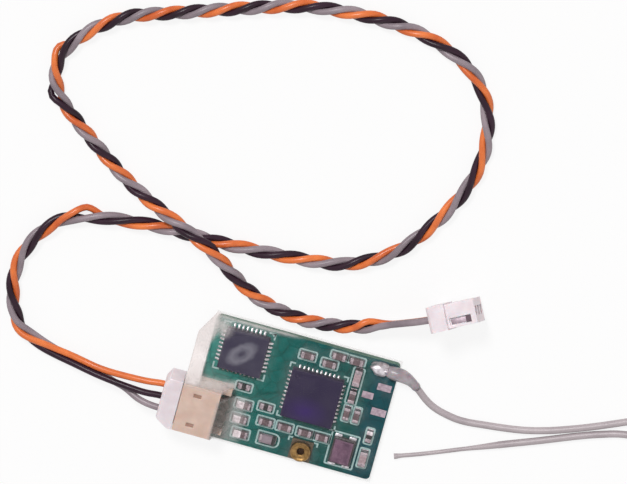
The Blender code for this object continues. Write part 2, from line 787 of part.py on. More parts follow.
def far_plug_place():
    """The far plug's matrix: standing on a narrow side, leaning over and turned in plan."""
    lean = math.radians(FAR_PLUG_LEAN)
    height = PLUG_WIDTH / 2 * math.cos(lean) + PLUG_THICKNESS / 2 * math.sin(lean) + SEAT
    turn = Matrix.Rotation(math.radians(FAR_PLUG_TURN), 4, "Z")
    on_edge = Matrix.Rotation(math.radians(90.0) - lean, 4, "X")
    return Matrix.Translation((FAR_PLUG_X, FAR_PLUG_Y, height)) @ turn @ on_edge


def plug(name, place):
    """A plug with its housing and its contacts."""
    plug_housing(name + "_housing", place)
    for i, y in enumerate(CONTACT_OFFSETS):
        crimp_terminal(f"{name}_terminal_{i + 1}", place, y)


# Parts on the board


def chip(name, size, place):
    """A flat square chip package with a dimple at its first corner."""
    x, y = on_board(place)
    half = size / 2
    package = box(
        name,
        (x - half, y - half, PART_BASE),
        (x + half, y + half, CHIP_TOP),
        CHIP_EPOXY,
    )
    bevel(package, CHIP_BEVEL)
    inset = half - CHIP_DOT_INSET
    dot = cylinder(
        name + "_first_pin_dot",
        (x - inset, y + inset, CHIP_TOP),
        CHIP_DOT,
        2 * CHIP_DOT_DEPTH,
        None,
        CUTTERS,
        segments=16,
    )
    return boolean(package, dot, "DIFFERENCE")


def crystal():
    """The reference crystal: a ceramic base with a metal lid."""
    x, y = on_board(CRYSTAL_PLACE)
    half_x = CRYSTAL_WIDTH / 2
    half_y = CRYSTAL_LENGTH / 2
    base_top = PART_BASE + CRYSTAL_BASE_HEIGHT
    base = box(
        "crystal_base",
        (x - half_x, y - half_y, PART_BASE),
        (x + half_x, y + half_y, base_top),
        CRYSTAL_CERAMIC,
    )
    bevel(base, CHIP_BEVEL)
    lid_x = half_x - CRYSTAL_LID_INSET
    lid_y = half_y - CRYSTAL_LID_INSET
    lid_low = base_top + SEAT
    lid = box(
        "crystal_lid",
        (x - lid_x, y - lid_y, lid_low),
        (x + lid_x, y + lid_y, lid_low + CRYSTAL_LID_HEIGHT),
        CRYSTAL_METAL,
    )
    bevel(lid, CHIP_BEVEL, LID_BEVEL_STEPS)


def rf_socket():
    """The radio test socket: a dark base with a round gilt shell on it."""
    half = SOCKET_BASE / 2
    x, y = on_board(SOCKET_PLACE, (0.0, SOCKET_BASE))
    base_top = PART_BASE + SOCKET_BASE_HEIGHT
    box(
        "rf_socket_base",
        (x - half, y - half, PART_BASE),
        (x + half, y + half, base_top),
        SOCKET_PLASTIC,
    )
    outer = SOCKET_DIAMETER / 2
    hole = SOCKET_HOLE / 2
    low = base_top + SEAT
    lip = SOCKET_HEIGHT / 4
    profile = (
        (hole, low + SOCKET_HEIGHT),
        (outer - lip, low + SOCKET_HEIGHT),
        (outer, low + SOCKET_HEIGHT - lip),
        (outer, low),
        (hole + lip, low),
        (hole, low + lip),
    )
    bm = bmesh.new()
    ring = [bm.verts.new((radius, 0.0, z)) for radius, z in profile]
    for first, second in zip(ring, ring[1:] + ring[:1]):
        bm.edges.new((first, second))
    shell = mesh_object("rf_socket_shell", bm, BRASS)
    shell.location = (x, y, 0.0)
    turned = shell.modifiers.new("turned", "SCREW")
    turned.angle = math.tau
    turned.screw_offset = 0.0
    turned.steps = SOCKET_SIDES
    turned.render_steps = SOCKET_SIDES
    turned.axis = "Z"
    turned.use_merge_vertices = False
    turned.use_normal_calculate = True
    return smooth(shell)


def chip_part(name, length, width, height, x, y, turned):
    """A two-terminal chip part: a body with slightly larger metal end caps, as one solid."""
    body = length / 2 - END_CAP
    bm = bmesh.new()
    bmesh.ops.create_cube(bm, size=1.0)
    inner = (2 * body, width - 2 * END_CAP_PROUD, height - END_CAP_PROUD)
    bmesh.ops.scale(bm, vec=inner, verts=bm.verts)
    bmesh.ops.translate(bm, vec=(0.0, 0.0, inner[2] / 2), verts=bm.verts)
    for side in (1, -1):
        bm.normal_update()
        end = [f for f in bm.faces if f.normal.x * side > 0.9]
        collar = bmesh.ops.extrude_discrete_faces(bm, faces=end)["faces"]
        wide = (1.0, width / inner[1], height / inner[2])
        bmesh.ops.scale(bm, vec=wide, verts=collar[0].verts)
        cap = bmesh.ops.extrude_discrete_faces(bm, faces=collar)["faces"]
        bmesh.ops.translate(bm, vec=(side * END_CAP, 0.0, 0.0), verts=cap[0].verts)
    looks = {"r": RESISTOR_BLACK, "c": CERAMIC, "i": CERAMIC, "d": CHIP_EPOXY}
    part = mesh_object(name, bm, looks[name[0]])
    part.location = (x, y, PART_BASE)
    part.rotation_euler = (0.0, 0.0, math.radians(90.0) if turned else 0.0)
    return part


def chip_parts():
    """All the two-terminal parts in their places."""
    for name, length, width, height, along_board, across_board, turned in CHIP_PARTS:
        x, y = on_board((along_board, across_board))
        chip_part(name, length, width, height, x, y, turned)
    name, length, width, height, across_board, gap = PART_BY_HEADER
    x = HEADER_REAR + EAR_LENGTH + gap + length / 2
    y = on_board((0.0, across_board))[1]
    chip_part(name, length, width, height, x, y, False)


def solder_joint():
    """The antenna's solder joint: a flattened dome on the board."""
    bm = bmesh.new()
    bmesh.ops.create_uvsphere(bm, u_segments=SOLDER_SEGMENTS, v_segments=SOLDER_RINGS, radius=0.5)
    bmesh.ops.scale(bm, vec=(SOLDER_LENGTH, SOLDER_WIDTH, 2 * SOLDER_HEIGHT), verts=bm.verts)
    cut = bmesh.ops.bisect_plane(
        bm,
        geom=[*bm.verts, *bm.edges, *bm.faces],
        plane_co=(0.0, 0.0, 0.0),
        plane_no=(0.0, 0.0, -1.0),
        dist=MM / 1000,
        clear_outer=True,
    )
    rim = [e for e in cut["geom_cut"] if isinstance(e, bmesh.types.BMEdge)]
    bmesh.ops.contextual_create(bm, geom=rim)
    bmesh.ops.recalc_face_normals(bm, faces=bm.faces)
    joint = mesh_object("antenna_solder_joint", bm, TINNED)
    joint.location = (SOLDER_X, SOLDER_Y, PART_BASE)
    return smooth(joint)


# Lead and antenna


def along(points, spacing):
    """Points an even spacing apart on a smooth curve through the route's points."""
    ends = [2 * points[0] - points[1], *points, 2 * points[-1] - points[-2]]
    fine = []
    for before, start, end, after in zip(ends, ends[1:], ends[2:], ends[3:]):
        for step in range(CURVE_STEPS):
            t = step / CURVE_STEPS
            fine.append(
                0.5
                * (
                    2 * start
                    + (end - before) * t
                    + (2 * before - 5 * start + 4 * end - after) * t**2
                    + (3 * start - before - 3 * end + after) * t**3
                )
            )
    fine.append(points[-1])
    total = sum((b - a).length for a, b in zip(fine, fine[1:]))
    count = max(2, round(total / spacing))
    found = [fine[0]]
    walked = 0.0
    for a, b in zip(fine, fine[1:]):
        step = (b - a).length
        while len(found) < count and walked + step >= total * len(found) / count:
            share = (total * len(found) / count - walked) / step
            found.append(a.lerp(b, share))
        walked += step
    found.append(fine[-1])
    return found


def tube(name, points, diameter, look, capped=True, collection=None):
    """A round tube on a line of points."""
    curve = bpy.data.curves.new(name, "CURVE")
    curve.dimensions = "3D"
    curve.bevel_depth = diameter / 2
    curve.bevel_resolution = TUBE_SIDES // 2 - 2
    curve.use_fill_caps = capped
    spline = curve.splines.new("POLY")
    spline.points.add(len(points) - 1)
    for point, place in zip(spline.points, points):
        point.co = (*place, 1.0)
    obj = bpy.data.objects.new(name, curve)
    bpy.context.scene.collection.objects.link(obj)
    return finish(obj, name, look, collection)


def route_points(route, diameter, origin=Vector(), lies_on=LIES_ABOVE_FLOOR):
    """A route's points in metres, each at its height above what the piece lies on."""
    base = origin + Vector((0.0, 0.0, lies_on + diameter / 2))
    return [base + Vector((x * MM, y * MM, lift * diameter)) for x, y, lift in route]


def lead_bundle():
    """The three twisted wires as one plain tube, from the board plug to the far plug."""
    start = board_plug_place() @ Vector((-PIECE_GAP, 0.0, 0.0))
    end = far_plug_place() @ Vector((-PIECE_GAP, 0.0, 0.0))
    points = [start, *route_points(LEAD_ROUTE, LEAD_DIAMETER), end]
    return tube(
        "lead_bundle",
        along(points, TUBE_POINT_SPACING * LEAD_DIAMETER),
        LEAD_DIAMETER,
        WIRE_ORANGE,
    )


def coax_line():
    """The points of the coax tube."""
    on_board_points = route_points(COAX_ON_BOARD, COAX_DIAMETER, COAX_ORIGIN, BOARD_TOP)
    points = on_board_points + route_points(COAX_ROUTE, COAX_DIAMETER, COAX_ORIGIN)
    return along(points, TUBE_POINT_SPACING * COAX_DIAMETER)


def antenna_glue():
    """The milky glue round the coax where it leaves the board, flat where it lies on the board."""
    line = coax_line()
    held = line[: round(GLUE_LENGTH / (line[1] - line[0]).length) + 1]
    flat = math.cos(math.pi / TUBE_SIDES)
    diameter = COAX_DIAMETER + 2 * GLUE_CLEARANCE + 2 * GLUE_WALL / flat
    outer = tube("antenna_glue_tube", held, diameter, GLUE_MILKY, capped=False)
    bpy.context.view_layer.update()
    graph = bpy.context.evaluated_depsgraph_get()
    mesh = bpy.data.meshes.new_from_object(outer.evaluated_get(graph))
    bpy.data.objects.remove(outer, do_unlink=True)
    glue = bpy.data.objects.new("antenna_glue", mesh)
    bpy.context.scene.collection.objects.link(glue)
    finish(glue, "antenna_glue", GLUE_MILKY)
    wall = glue.modifiers.new("glue_wall", "SOLIDIFY")
    wall.thickness = GLUE_WALL
    wall.offset = -1.0
    wall.use_even_offset = True
    reach = BOARD_LENGTH / 2 + FILM_PAST_BOARD
    return cut_box(
        glue,
        "glue_board_face",
        (0.0, 0.0, -BOARD_TOP),
        (reach, BOARD_WIDTH, PART_BASE),
    )


def antenna():
    """The antenna: its solder joint, glue, coax and bare element."""
    solder_joint()
    antenna_glue()
    tube("antenna_coax", coax_line(), COAX_DIAMETER, COAX_GREY)
    element = route_points(ELEMENT_ROUTE, ELEMENT_DIAMETER, COAX_ORIGIN)
    tube(
        "antenna_element",
        along(element, TUBE_POINT_SPACING * ELEMENT_DIAMETER),
        ELEMENT_DIAMETER,
        COAX_GREY,
    )


def build():
    """Makes every piece of the receiver."""
    circuit_board()
    shrink_sleeve()
    header_housing()
    for i, offset in enumerate(CONTACT_OFFSETS):
        header_pin(f"header_pin_{i + 1}", HEADER_Y + offset)
    plug("board_plug", board_plug_place())
    plug("far_plug", far_plug_place())
    chip("mcu_chip", MCU_SIZE, MCU_PLACE)
    chip("radio_chip", RADIO_SIZE, RADIO_PLACE)
    crystal()
    rf_socket()
    chip_parts()
    antenna()
    lead_bundle()


build()
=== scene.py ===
# %% [markdown]
# # A small radio-control receiver
#
# The object is a bare green circuit board in clear shrink film. A beige header takes a white plug,
# and from that plug runs a twisted lead of three wires to a second white plug. One thin grey
# antenna leaves the board's far corner. The imported model is loaded first, because every piece
# below takes its place from it. Its parts stay in the scene, hidden where a dressed piece stands for them.

# %% Load the frame
import json
import math

import bmesh
import bpy
from mathutils import Matrix, Vector, noise

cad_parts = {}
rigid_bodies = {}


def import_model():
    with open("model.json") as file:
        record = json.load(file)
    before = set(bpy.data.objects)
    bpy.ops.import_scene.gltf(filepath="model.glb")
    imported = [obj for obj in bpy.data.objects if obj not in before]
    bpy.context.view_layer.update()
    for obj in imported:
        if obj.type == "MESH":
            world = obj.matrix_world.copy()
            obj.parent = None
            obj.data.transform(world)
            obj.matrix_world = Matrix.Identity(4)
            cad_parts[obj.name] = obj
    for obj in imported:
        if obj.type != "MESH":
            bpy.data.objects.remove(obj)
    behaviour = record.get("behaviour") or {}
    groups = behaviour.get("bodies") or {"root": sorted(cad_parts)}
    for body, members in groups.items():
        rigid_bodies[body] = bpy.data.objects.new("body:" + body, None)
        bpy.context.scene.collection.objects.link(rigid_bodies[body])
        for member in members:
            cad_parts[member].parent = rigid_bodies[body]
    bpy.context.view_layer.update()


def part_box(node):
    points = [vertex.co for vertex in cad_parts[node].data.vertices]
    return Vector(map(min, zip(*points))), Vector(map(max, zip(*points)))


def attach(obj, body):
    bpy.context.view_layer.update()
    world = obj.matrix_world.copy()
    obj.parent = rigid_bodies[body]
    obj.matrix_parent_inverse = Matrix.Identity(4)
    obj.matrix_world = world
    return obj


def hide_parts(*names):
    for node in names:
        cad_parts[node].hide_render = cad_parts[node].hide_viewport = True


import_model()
MM = 0.001
BODY = "root"

# %% [markdown]
# Colours are written as the hex values that a picture editor shows. Blender's shaders want linear
# light, so one function turns them. Two more functions settle a node's sockets and add a new node,
# which keeps each material short enough to read. A node that is given as a source stands for its
# first output.

# %% Colour and node helpers


def linear(code):
    """An sRGB hex colour as linear RGBA."""
    parts = [int(code[i:i + 2], 16) / 255 for i in (0, 2, 4)]
    return (*(c / 12.92 if c <= 0.04045 else ((c + 0.055) / 1.055) ** 2.4 for c in parts), 1.0)


def settle(tree, node, values=(), links=()):
    """Give a node its socket values and its links."""
    for socket, value in dict(values).items():
        node.inputs[socket].default_value = value
    for socket, source in dict(links).items():
        tree.links.new(getattr(source, "outputs", [source])[0], node.inputs[socket])
    return node


def add(tree, kind, values=(), links=(), **settings):
    """A shader node with its settings, its socket values and its links."""
    node = tree.nodes.new("ShaderNode" + kind)
    for key, value in settings.items():
        setattr(node, key, value)
    return settle(tree, node, values, links)


def new_material(name):
    """A named material, its node tree, its Principled shader and its place coordinates."""
    made = bpy.data.materials.new(name)
    made.use_nodes = True
    tree = made.node_tree
    return made, tree, tree.nodes["Principled BSDF"], add(tree, "TexCoord").outputs["Object"]


def blend_colours(tree, factor, stops):
    """A colour ramp from hex stops, driven by a factor."""
    ramp = add(tree, "ValToRGB", links={"Fac": factor})
    for i, (place, code) in enumerate(stops):
        if i > 1:
            ramp.color_ramp.elements.new(place)
        ramp.color_ramp.elements[i].position = place
        ramp.color_ramp.elements[i].color = linear(code)
    return ramp


print("white in linear light:", linear("ffffff")[0])

# %% [markdown]
# The photograph is taken from above the board's +Y side with a long lens, and the picture is turned
# a little. The camera is built from three directions: right, up and back. A far camera with a long
# lens keeps parallel edges parallel, as the photograph does.

# %% Camera
ELEVATION = math.radians(67.3)
ROLL = math.radians(15.5)
AIM = Vector((-2.5, 18.6, 0.0)) * MM
CAMERA_DISTANCE = 1.5
VIEW_WIDTH = 70.45 * MM
SENSOR = 36.0

level_right = Vector((1.0, 0.0, 0.0))
level_up = Vector((0.0, math.sin(ELEVATION), -math.cos(ELEVATION)))
TO_CAMERA = Vector((0.0, math.cos(ELEVATION), math.sin(ELEVATION)))
right = math.cos(ROLL) * level_right + math.sin(ROLL) * level_up
up = -math.sin(ROLL) * level_right + math.cos(ROLL) * level_up

camera_data = bpy.data.cameras.new("camera")
camera_data.sensor_width = SENSOR
camera_data.lens = SENSOR * CAMERA_DISTANCE / VIEW_WIDTH
camera_data.clip_start = 0.05
camera_data.clip_end = 10.0
camera = bpy.data.objects.new("camera", camera_data)
camera.matrix_world = Matrix.Translation(AIM + CAMERA_DISTANCE * TO_CAMERA) @ Matrix(
    (right, up, TO_CAMERA)
).transposed().to_4x4()
bpy.context.scene.collection.objects.link(camera)
bpy.context.scene.camera = camera
print("lens, mm:", round(camera_data.lens))

# %% [markdown]
# The light is plain and soft. The world gives an even level, and two broad suns give the surfaces
# their shape, the stronger one from beyond the lead, as the photograph's highlights show. Rays that
# the camera, a shiny surface or clear film sends out see the world as white.

# %% Light
AMBIENT = 0.42
SUNS = (
    ("key_sun", 2.0, 12.0, Vector((0.35, -0.75, -1.0))),
    ("fill_sun", 0.3, 60.0, Vector((-0.7, 0.5, -0.8))),
)

scene = bpy.context.scene
scene.view_settings.view_transform = "Standard"
world = bpy.data.worlds.new("studio")
world.use_nodes = True
scene.world = world
sky = world.node_tree
sky.nodes.clear()
rays = add(sky, "LightPath")
seen = rays.outputs["Is Camera Ray"]
for ray in ("Is Glossy Ray", "Is Transmission Ray"):
    seen = add(sky, "Math", {}, {0: seen, 1: rays.outputs[ray]}, operation="MAXIMUM")
level = add(sky, "MapRange", {"To Min": AMBIENT, "To Max": 1.0}, {"Value": seen})
backdrop = add(sky, "Background", {"Color": linear("ffffff")}, {"Strength": level})
add(sky, "OutputWorld", {}, {"Surface": backdrop})

for sun_name, strength, softness, direction in SUNS:
    lamp = bpy.data.lights.new(sun_name, "SUN")
    lamp.energy = strength
    lamp.angle = math.radians(softness)
    holder = bpy.data.objects.new(sun_name, lamp)
    holder.rotation_mode = "QUATERNION"
    holder.rotation_quaternion = direction.to_track_quat("-Z", "Y")
    scene.collection.objects.link(holder)
print("lamps:", [s[0] for s in SUNS])

# %% [markdown]
# The floor is a plain white sweep. It shows most of its white by itself to the camera, so it stays
# as pale as the photograph's background and still carries a soft shadow under the wires.

# %% Floor
FLOOR_HALF = 0.6
FLOOR_GLOW = 0.86


def link_piece(name, mesh_or_curve, materials=()):
    """A new object in the scene with these materials."""
    obj = bpy.data.objects.new(name, mesh_or_curve)
    for look in materials:
        obj.data.materials.append(look)
    bpy.context.scene.collection.objects.link(obj)
    return obj


def mesh_piece(name, bm, materials=(), smooth=True, sharp=38.0):
    """A new mesh object from a bmesh, which is freed. Sharp edges keep their edge."""
    mesh = bpy.data.meshes.new(name)
    bm.to_mesh(mesh)
    bm.free()
    if smooth:
        mesh.shade_smooth()
        mesh.set_sharp_from_angle(angle=math.radians(sharp))
    return link_piece(name, mesh, materials)


paper, tree, shader, _ = new_material("white_paper_sweep")
settle(tree, shader, {"Base Color": linear("f4f2f2"), "Roughness": 0.9, "Specular IOR Level": 0.1})
glow = add(tree, "Emission", {"Color": linear("ffffff"), "Strength": 1.0})
share = add(tree, "Math", {1: FLOOR_GLOW},
            {0: add(tree, "LightPath").outputs["Is Camera Ray"]}, operation="MULTIPLY")
mixed = add(tree, "MixShader", {}, {"Fac": share, 1: shader, 2: glow})
settle(tree, tree.nodes["Material Output"], {}, {"Surface": mixed})

bm = bmesh.new()
bmesh.ops.create_grid(bm, x_segments=1, y_segments=1, size=FLOOR_HALF)
floor = mesh_piece("floor", bm, [paper], smooth=False)
print("floor, mm:", round(2 * FLOOR_HALF / MM))

# %% [markdown]
# ## The lead
#
# The lead is three insulated wires twisted left-handed, about one turn every eight millimetres. Its
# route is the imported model's own. Each wire is a curve that winds round that route. The list of
# turns says how far along the lead the orange wire comes to the top, so the twist is as uneven as a
# hand-twisted lead is. Close to each plug the wires leave the twist and spread to their contacts.

# %% Routes
WIRE_DIAMETER = 0.76 * MM
LEAD_DIAMETER = WIRE_DIAMETER * (1 + 2 / math.sqrt(3))
LIES_ABOVE_FLOOR = 0.025 * MM
PLUG_ABOVE_FLOOR = 0.02 * MM
PART_ABOVE_BOARD = 0.02 * MM
CURVE_STEPS = 16
LEAD_STEP = 0.45 * MM

plug_low, plug_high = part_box("board_plug_housing")
board_low, board_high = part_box("circuit_board")
BOARD_BOTTOM = board_low.z
BOARD_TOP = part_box("mcu_chip")[0].z - PART_ABOVE_BOARD
HEADER_Y = (plug_low.y + plug_high.y) / 2
CONTACT_Z = (plug_low.z + plug_high.z) / 2
FAR_PLUG_TURN = math.radians(30.0)
FAR_PLUG_LEAN = math.radians(19.4)
PLUG_WIDTH = 6.0 * MM
PLUG_THICKNESS = 3.4 * MM
PITCH = 1.5 * MM
half_height = (PLUG_WIDTH * math.cos(FAR_PLUG_LEAN) + PLUG_THICKNESS * math.sin(FAR_PLUG_LEAN)) / 2
FAR_PLUG_PLACE = (
    Matrix.Translation((12.7 * MM, 14.8 * MM, half_height + PLUG_ABOVE_FLOOR))
    @ Matrix.Rotation(FAR_PLUG_TURN, 4, "Z")
    @ Matrix.Rotation(math.radians(90.0) - FAR_PLUG_LEAN, 4, "X")
)
# Places across the floor in millimetres, and heights above it in diameters
LEAD_ROUTE = (
    (-17.4, -3.4, 1.07), (-24.4, -2.8, 0.13), (-30.9, -1.2, 0.0), (-33.1, 1.6, 0.0), (-34.0, 5.4, 0.0),
    (-33.5, 8.8, 0.0), (-31.6, 12.2, 0.0), (-28.4, 14.4, 0.0), (-20.2, 15.7, 0.0), (-11.5, 15.9, 0.0),
    (-1.2, 16.8, 0.0), (3.0, 18.0, 0.0), (7.0, 20.8, 0.0), (10.3, 25.5, 0.0), (12.6, 30.7, 0.0),
    (13.2, 35.5, 0.0), (12.0, 40.6, 0.0), (9.0, 44.2, 0.0), (4.0, 46.4, 0.0), (-1.5, 47.0, 0.0),
    (-7.5, 46.6, 0.0), (-12.5, 45.5, 0.0), (-24.5, 41.1, 0.0), (-29.4, 39.1, 0.0), (-33.2, 36.0, 0.0),
    (-35.4, 32.2, 0.0), (-34.6, 28.4, 0.0), (-31.5, 25.3, 0.0), (-23.8, 19.8, 0.1), (-16.3, 16.75, 1.03),
    (-14.0, 15.7, 1.08), (-12.2, 14.5, 0.9), (-8.4, 11.4, 0.12), (-5.4, 10.1, 0.0), (-1.5, 9.5, 0.0),
    (2.0, 9.85, 0.08), (5.2, 10.8, 0.37), (10.4, 13.5, 1.25),
)


def line_length(points):
    """The length of a line of points."""
    return sum((b - a).length for a, b in zip(points, points[1:]))


def smooth_line(points, spacing):
    """Points an even spacing apart on a smooth curve through these points."""
    ends = [2 * points[0] - points[1], *points, 2 * points[-1] - points[-2]]
    fine = []
    for before, start, end, after in zip(ends, ends[1:], ends[2:], ends[3:]):
        for step in range(CURVE_STEPS):
            t = step / CURVE_STEPS
            fine.append(0.5 * (
                2 * start + (end - before) * t
                + (2 * before - 5 * start + 4 * end - after) * t**2
                + (3 * start - before - 3 * end + after) * t**3
            ))
    fine.append(points[-1])
    total = line_length(fine)
    count = max(2, round(total / spacing))
    found = [fine[0]]
    walked = 0.0
    for a, b in zip(fine, fine[1:]):
        step = (b - a).length
        while len(found) < count and walked + step >= total * len(found) / count:
            found.append(a.lerp(b, (total * len(found) / count - walked) / step))
        walked += step
    found.append(fine[-1])
    return found


def route_points(route, diameter, origin=Vector(), lies_on=LIES_ABOVE_FLOOR):
    """A route's points in metres, each at its height above what the piece lies on."""
    base = origin + Vector((0.0, 0.0, lies_on + diameter / 2))
    return [base + Vector((x * MM, y * MM, lift * diameter)) for x, y, lift in route]


def cord_curve(name, points, diameter, look, sides=12, widths=()):
    """A round cord on a line of points, closed at both ends. The widths are shares of its diameter."""
    curve = bpy.data.curves.new(name, "CURVE")
    curve.dimensions = "3D"
    curve.bevel_depth = diameter / 2
    curve.bevel_resolution = sides // 2 - 2
    curve.use_fill_caps = True
    spline = curve.splines.new("POLY")
    spline.points.add(len(points) - 1)
    for point, place in zip(spline.points, points):
        point.co = (*place, 1.0)
    for point, width in zip(spline.points, widths):
        point.radius = width
    spline.use_smooth = True
    return link_piece(name, curve, [look])


lead_start = Vector((plug_low.x, HEADER_Y, CONTACT_Z))
lead_end = FAR_PLUG_PLACE @ Vector()
lead_line = smooth_line([lead_start, *route_points(LEAD_ROUTE, LEAD_DIAMETER), lead_end], LEAD_STEP)
lead_length = line_length(lead_line)
print("lead, mm:", round(lead_length / MM, 1))

# %% [markdown]
# Most surfaces here have two close shades that a slow noise blends, and a relief from a finer one.
# One function makes such a skin, and each finish below gives it that finish's own sizes.
#
# Wire insulation is extruded PVC. It is smooth and slightly glossy, and its colour is even, with a
# faint cloudiness a few millimetres across and fine dust, of about a tenth of a millimetre, that
# breaks the shine.

# %% Wire insulation


def skin(name, light, dark, rough, cloud, relief, grain=None, sockets=(), blend=(0.3, 0.7)):
    """A surface in two close shades that a cloud blends, with a relief from a grain.

    cloud and grain are each a noise's size in millimetres and its detail, and without a grain the
    relief follows the cloud. relief is a strength and a height in millimetres. rough is one value,
    or a lowest and a highest that follow the grain. blend is where the dark shade ends and where the
    light one begins, and sockets are further values of the shader."""
    made, tree, shader, place = new_material(name)
    noises = [
        add(tree, "TexNoise", {"Scale": 1 / (size * MM), "Detail": detail}, {"Vector": place})
        for size, detail in ((cloud, grain) if grain else (cloud,))
    ]
    fine = noises[-1]
    colour = blend_colours(tree, noises[0], ((blend[0], dark), (blend[1], light)))
    bump = add(tree, "Bump", {"Strength": relief[0], "Distance": relief[1] * MM}, {"Height": fine})
    settle(tree, shader, sockets, {"Base Color": colour, "Normal": bump})
    if isinstance(rough, tuple):
        spread = add(tree, "MapRange", {"To Min": rough[0], "To Max": rough[1]}, {"Value": fine})
        settle(tree, shader, {}, {"Roughness": spread})
    else:
        settle(tree, shader, {"Roughness": rough})
    return made


def insulation(name, light, dark, roughness, shine=0.5):
    """Extruded wire insulation."""
    return skin(name, light, dark, (roughness - 0.07, roughness + 0.12), (2.5, 3.0), (0.12, 0.02),
                (0.12, 2.0), {"IOR": 1.52, "Specular IOR Level": shine})


ORANGE_PVC = insulation("orange_pvc_insulation", "ea7d3e", "c65824", 0.3, 0.4)
BLACK_PVC = insulation("black_pvc_insulation", "331a2b", "200e1a", 0.3, 0.2)
GREY_PVC = insulation("grey_pvc_insulation", "998a91", "7d7077", 0.36, 0.4)
print("wire materials:", ORANGE_PVC.name, BLACK_PVC.name, GREY_PVC.name)

# %% The three wires
TWIST_RADIUS = WIRE_DIAMETER / math.sqrt(3)
# How far along the lead, in millimetres, the orange wire comes to the top for each turn
TURNS_AT = (
    15.9, 24.4, 33.5, 44.4, 52.5, 61.3, 69.4, 78.3, 87.6, 96.7, 105.4, 112.6, 120.7, 128.0, 135.3,
    142.2, 150.1, 157.0, 163.6, 170.6, 178.2, 185.8, 191.7, 197.9,
)
START_TURN = -1 / 6
TWIST_STARTS = 10.5
END_TURN = 23.33
TWIST_ENDS = 201.5
TWIST_EASE = 4
# The grey wire spreads later than the others, and stays under the black one until then
SPREAD_AT_BOARD = 9.0
GREY_SPREAD_AT_BOARD = 5.2
UNDER_BLACK = 0.3 * MM
UNDER_BY = 0.4
# Near the far plug the wires first lie on top of each other, and then spread to their contacts
STACK_AT_FAR_END = 8.2
STACKED_FROM = 4.4
WIRE_INTO_PLUG = 0.35 * MM
# Places where one wire stands off the bundle: turn, half width in turns, height in millimetres
LOOSE_ORANGE = ((2.33, 0.3, 0.75), (15.62, 0.25, 0.55), (23.12, 0.2, 0.3))
LOOSE_BLACK = ((16.34, 0.22, 0.5),)


def ease(t):
    """A smooth step from 0 to 1."""
    t = min(1.0, max(0.0, t))
    return t * t * (3 - 2 * t)


def reading(knots, at):
    """The value at a place on the straight lines between knots of place and value."""
    for (a, value_a), (b, value_b) in zip(knots, knots[1:]):
        if a <= at <= b:
            return value_a + (value_b - value_a) * (at - a) / (b - a)


def turns_along(lengths):
    """The twist in turns at each length along the lead, eased so that its rate never jumps."""
    knots = [(0.0, START_TURN), (TWIST_STARTS, START_TURN)]
    knots += [(at, float(turn)) for turn, at in enumerate(TURNS_AT)]
    knots += [(TWIST_ENDS, END_TURN), (lead_length / MM + 1.0, END_TURN)]
    raw = [reading(knots, length / MM) for length in lengths]
    near = [raw[max(0, i - TWIST_EASE): i + TWIST_EASE + 1] for i in range(len(raw))]
    return [sum(values) / len(values) for values in near]


walked = [0.0]
for a, b in zip(lead_line, lead_line[1:]):
    walked.append(walked[-1] + (b - a).length)
turns = turns_along(walked)
far_axis, far_width_axis = (
    (FAR_PLUG_PLACE.to_3x3() @ Vector(axis)).normalized() for axis in ((1.0, 0.0, 0.0), (0.0, 1.0, 0.0))
)


def wire_line(order, board_side, far_side, spread_from, loose):
    """One wire's centreline. order is its third of the twist, and the sides are its contacts."""
    points = [lead_start + Vector((WIRE_INTO_PLUG, board_side * PITCH, 0.0))]
    last = len(lead_line) - 1
    for i, centre in enumerate(lead_line):
        along = (lead_line[min(last, i + 1)] - lead_line[max(0, i - 1)]).normalized()
        top = (TO_CAMERA - TO_CAMERA.dot(along) * along).normalized()
        side = along.cross(top)
        angle = math.tau * (order / 3 - turns[i])
        radius = TWIST_RADIUS
        for turn, half, lift in loose:
            radius += lift * MM * ease(1 - abs(turns[i] - turn) / half)
        twisted = radius * (math.cos(angle) * top + math.sin(angle) * side)
        at_board = 1 - ease(walked[i] / MM / spread_from)
        late = 1 - ease(walked[i] / MM / SPREAD_AT_BOARD) - at_board
        under = WIRE_DIAMETER * late * top + UNDER_BLACK * ease(late / UNDER_BY) * side
        to_end = (lead_length - walked[i]) / MM
        at_far = 1 - ease((to_end - STACKED_FROM) / (STACK_AT_FAR_END - STACKED_FROM))
        apart = PITCH + (WIRE_DIAMETER - PITCH) * ease(to_end / STACKED_FROM)
        spread = at_board * board_side * PITCH * Vector((0.0, 1.0, 0.0))
        spread += at_far * far_side * apart * far_width_axis
        place = centre + (1 - at_board - at_far) * twisted + spread - under
        place.z = max(place.z, WIRE_DIAMETER / 2 + LIES_ABOVE_FLOOR)
        points.append(place)
    points.append(lead_end + WIRE_INTO_PLUG * far_axis + far_side * PITCH * far_width_axis)
    return points


WIRES = (
    ("wire_orange", 0, 1, -1, SPREAD_AT_BOARD, LOOSE_ORANGE, ORANGE_PVC),
    ("wire_grey", 1, -1, 1, GREY_SPREAD_AT_BOARD, (), GREY_PVC),
    ("wire_black", 2, 0, 0, SPREAD_AT_BOARD, LOOSE_BLACK, BLACK_PVC),
)
for wire_name, order, board_side, far_side, spread_from, loose, look in WIRES:
    points = wire_line(order, board_side, far_side, spread_from, loose)
    wire = cord_curve(wire_name, points, WIRE_DIAMETER, look)
    length = line_length(points)
    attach(wire, BODY)
    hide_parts("lead_bundle")
    print(wire_name, "mm:", round(length / MM, 1))

# %% [markdown]
# ## The antenna
#
# The antenna is a thin coaxial cable with a smooth grey jacket. It lies in one long loop, and its last
# stretch is the bare element. The element leaves the jacket at nearly its width, tapers over a few
# millimetres and ends in a small flare, so its width is worked out at each point of its line.

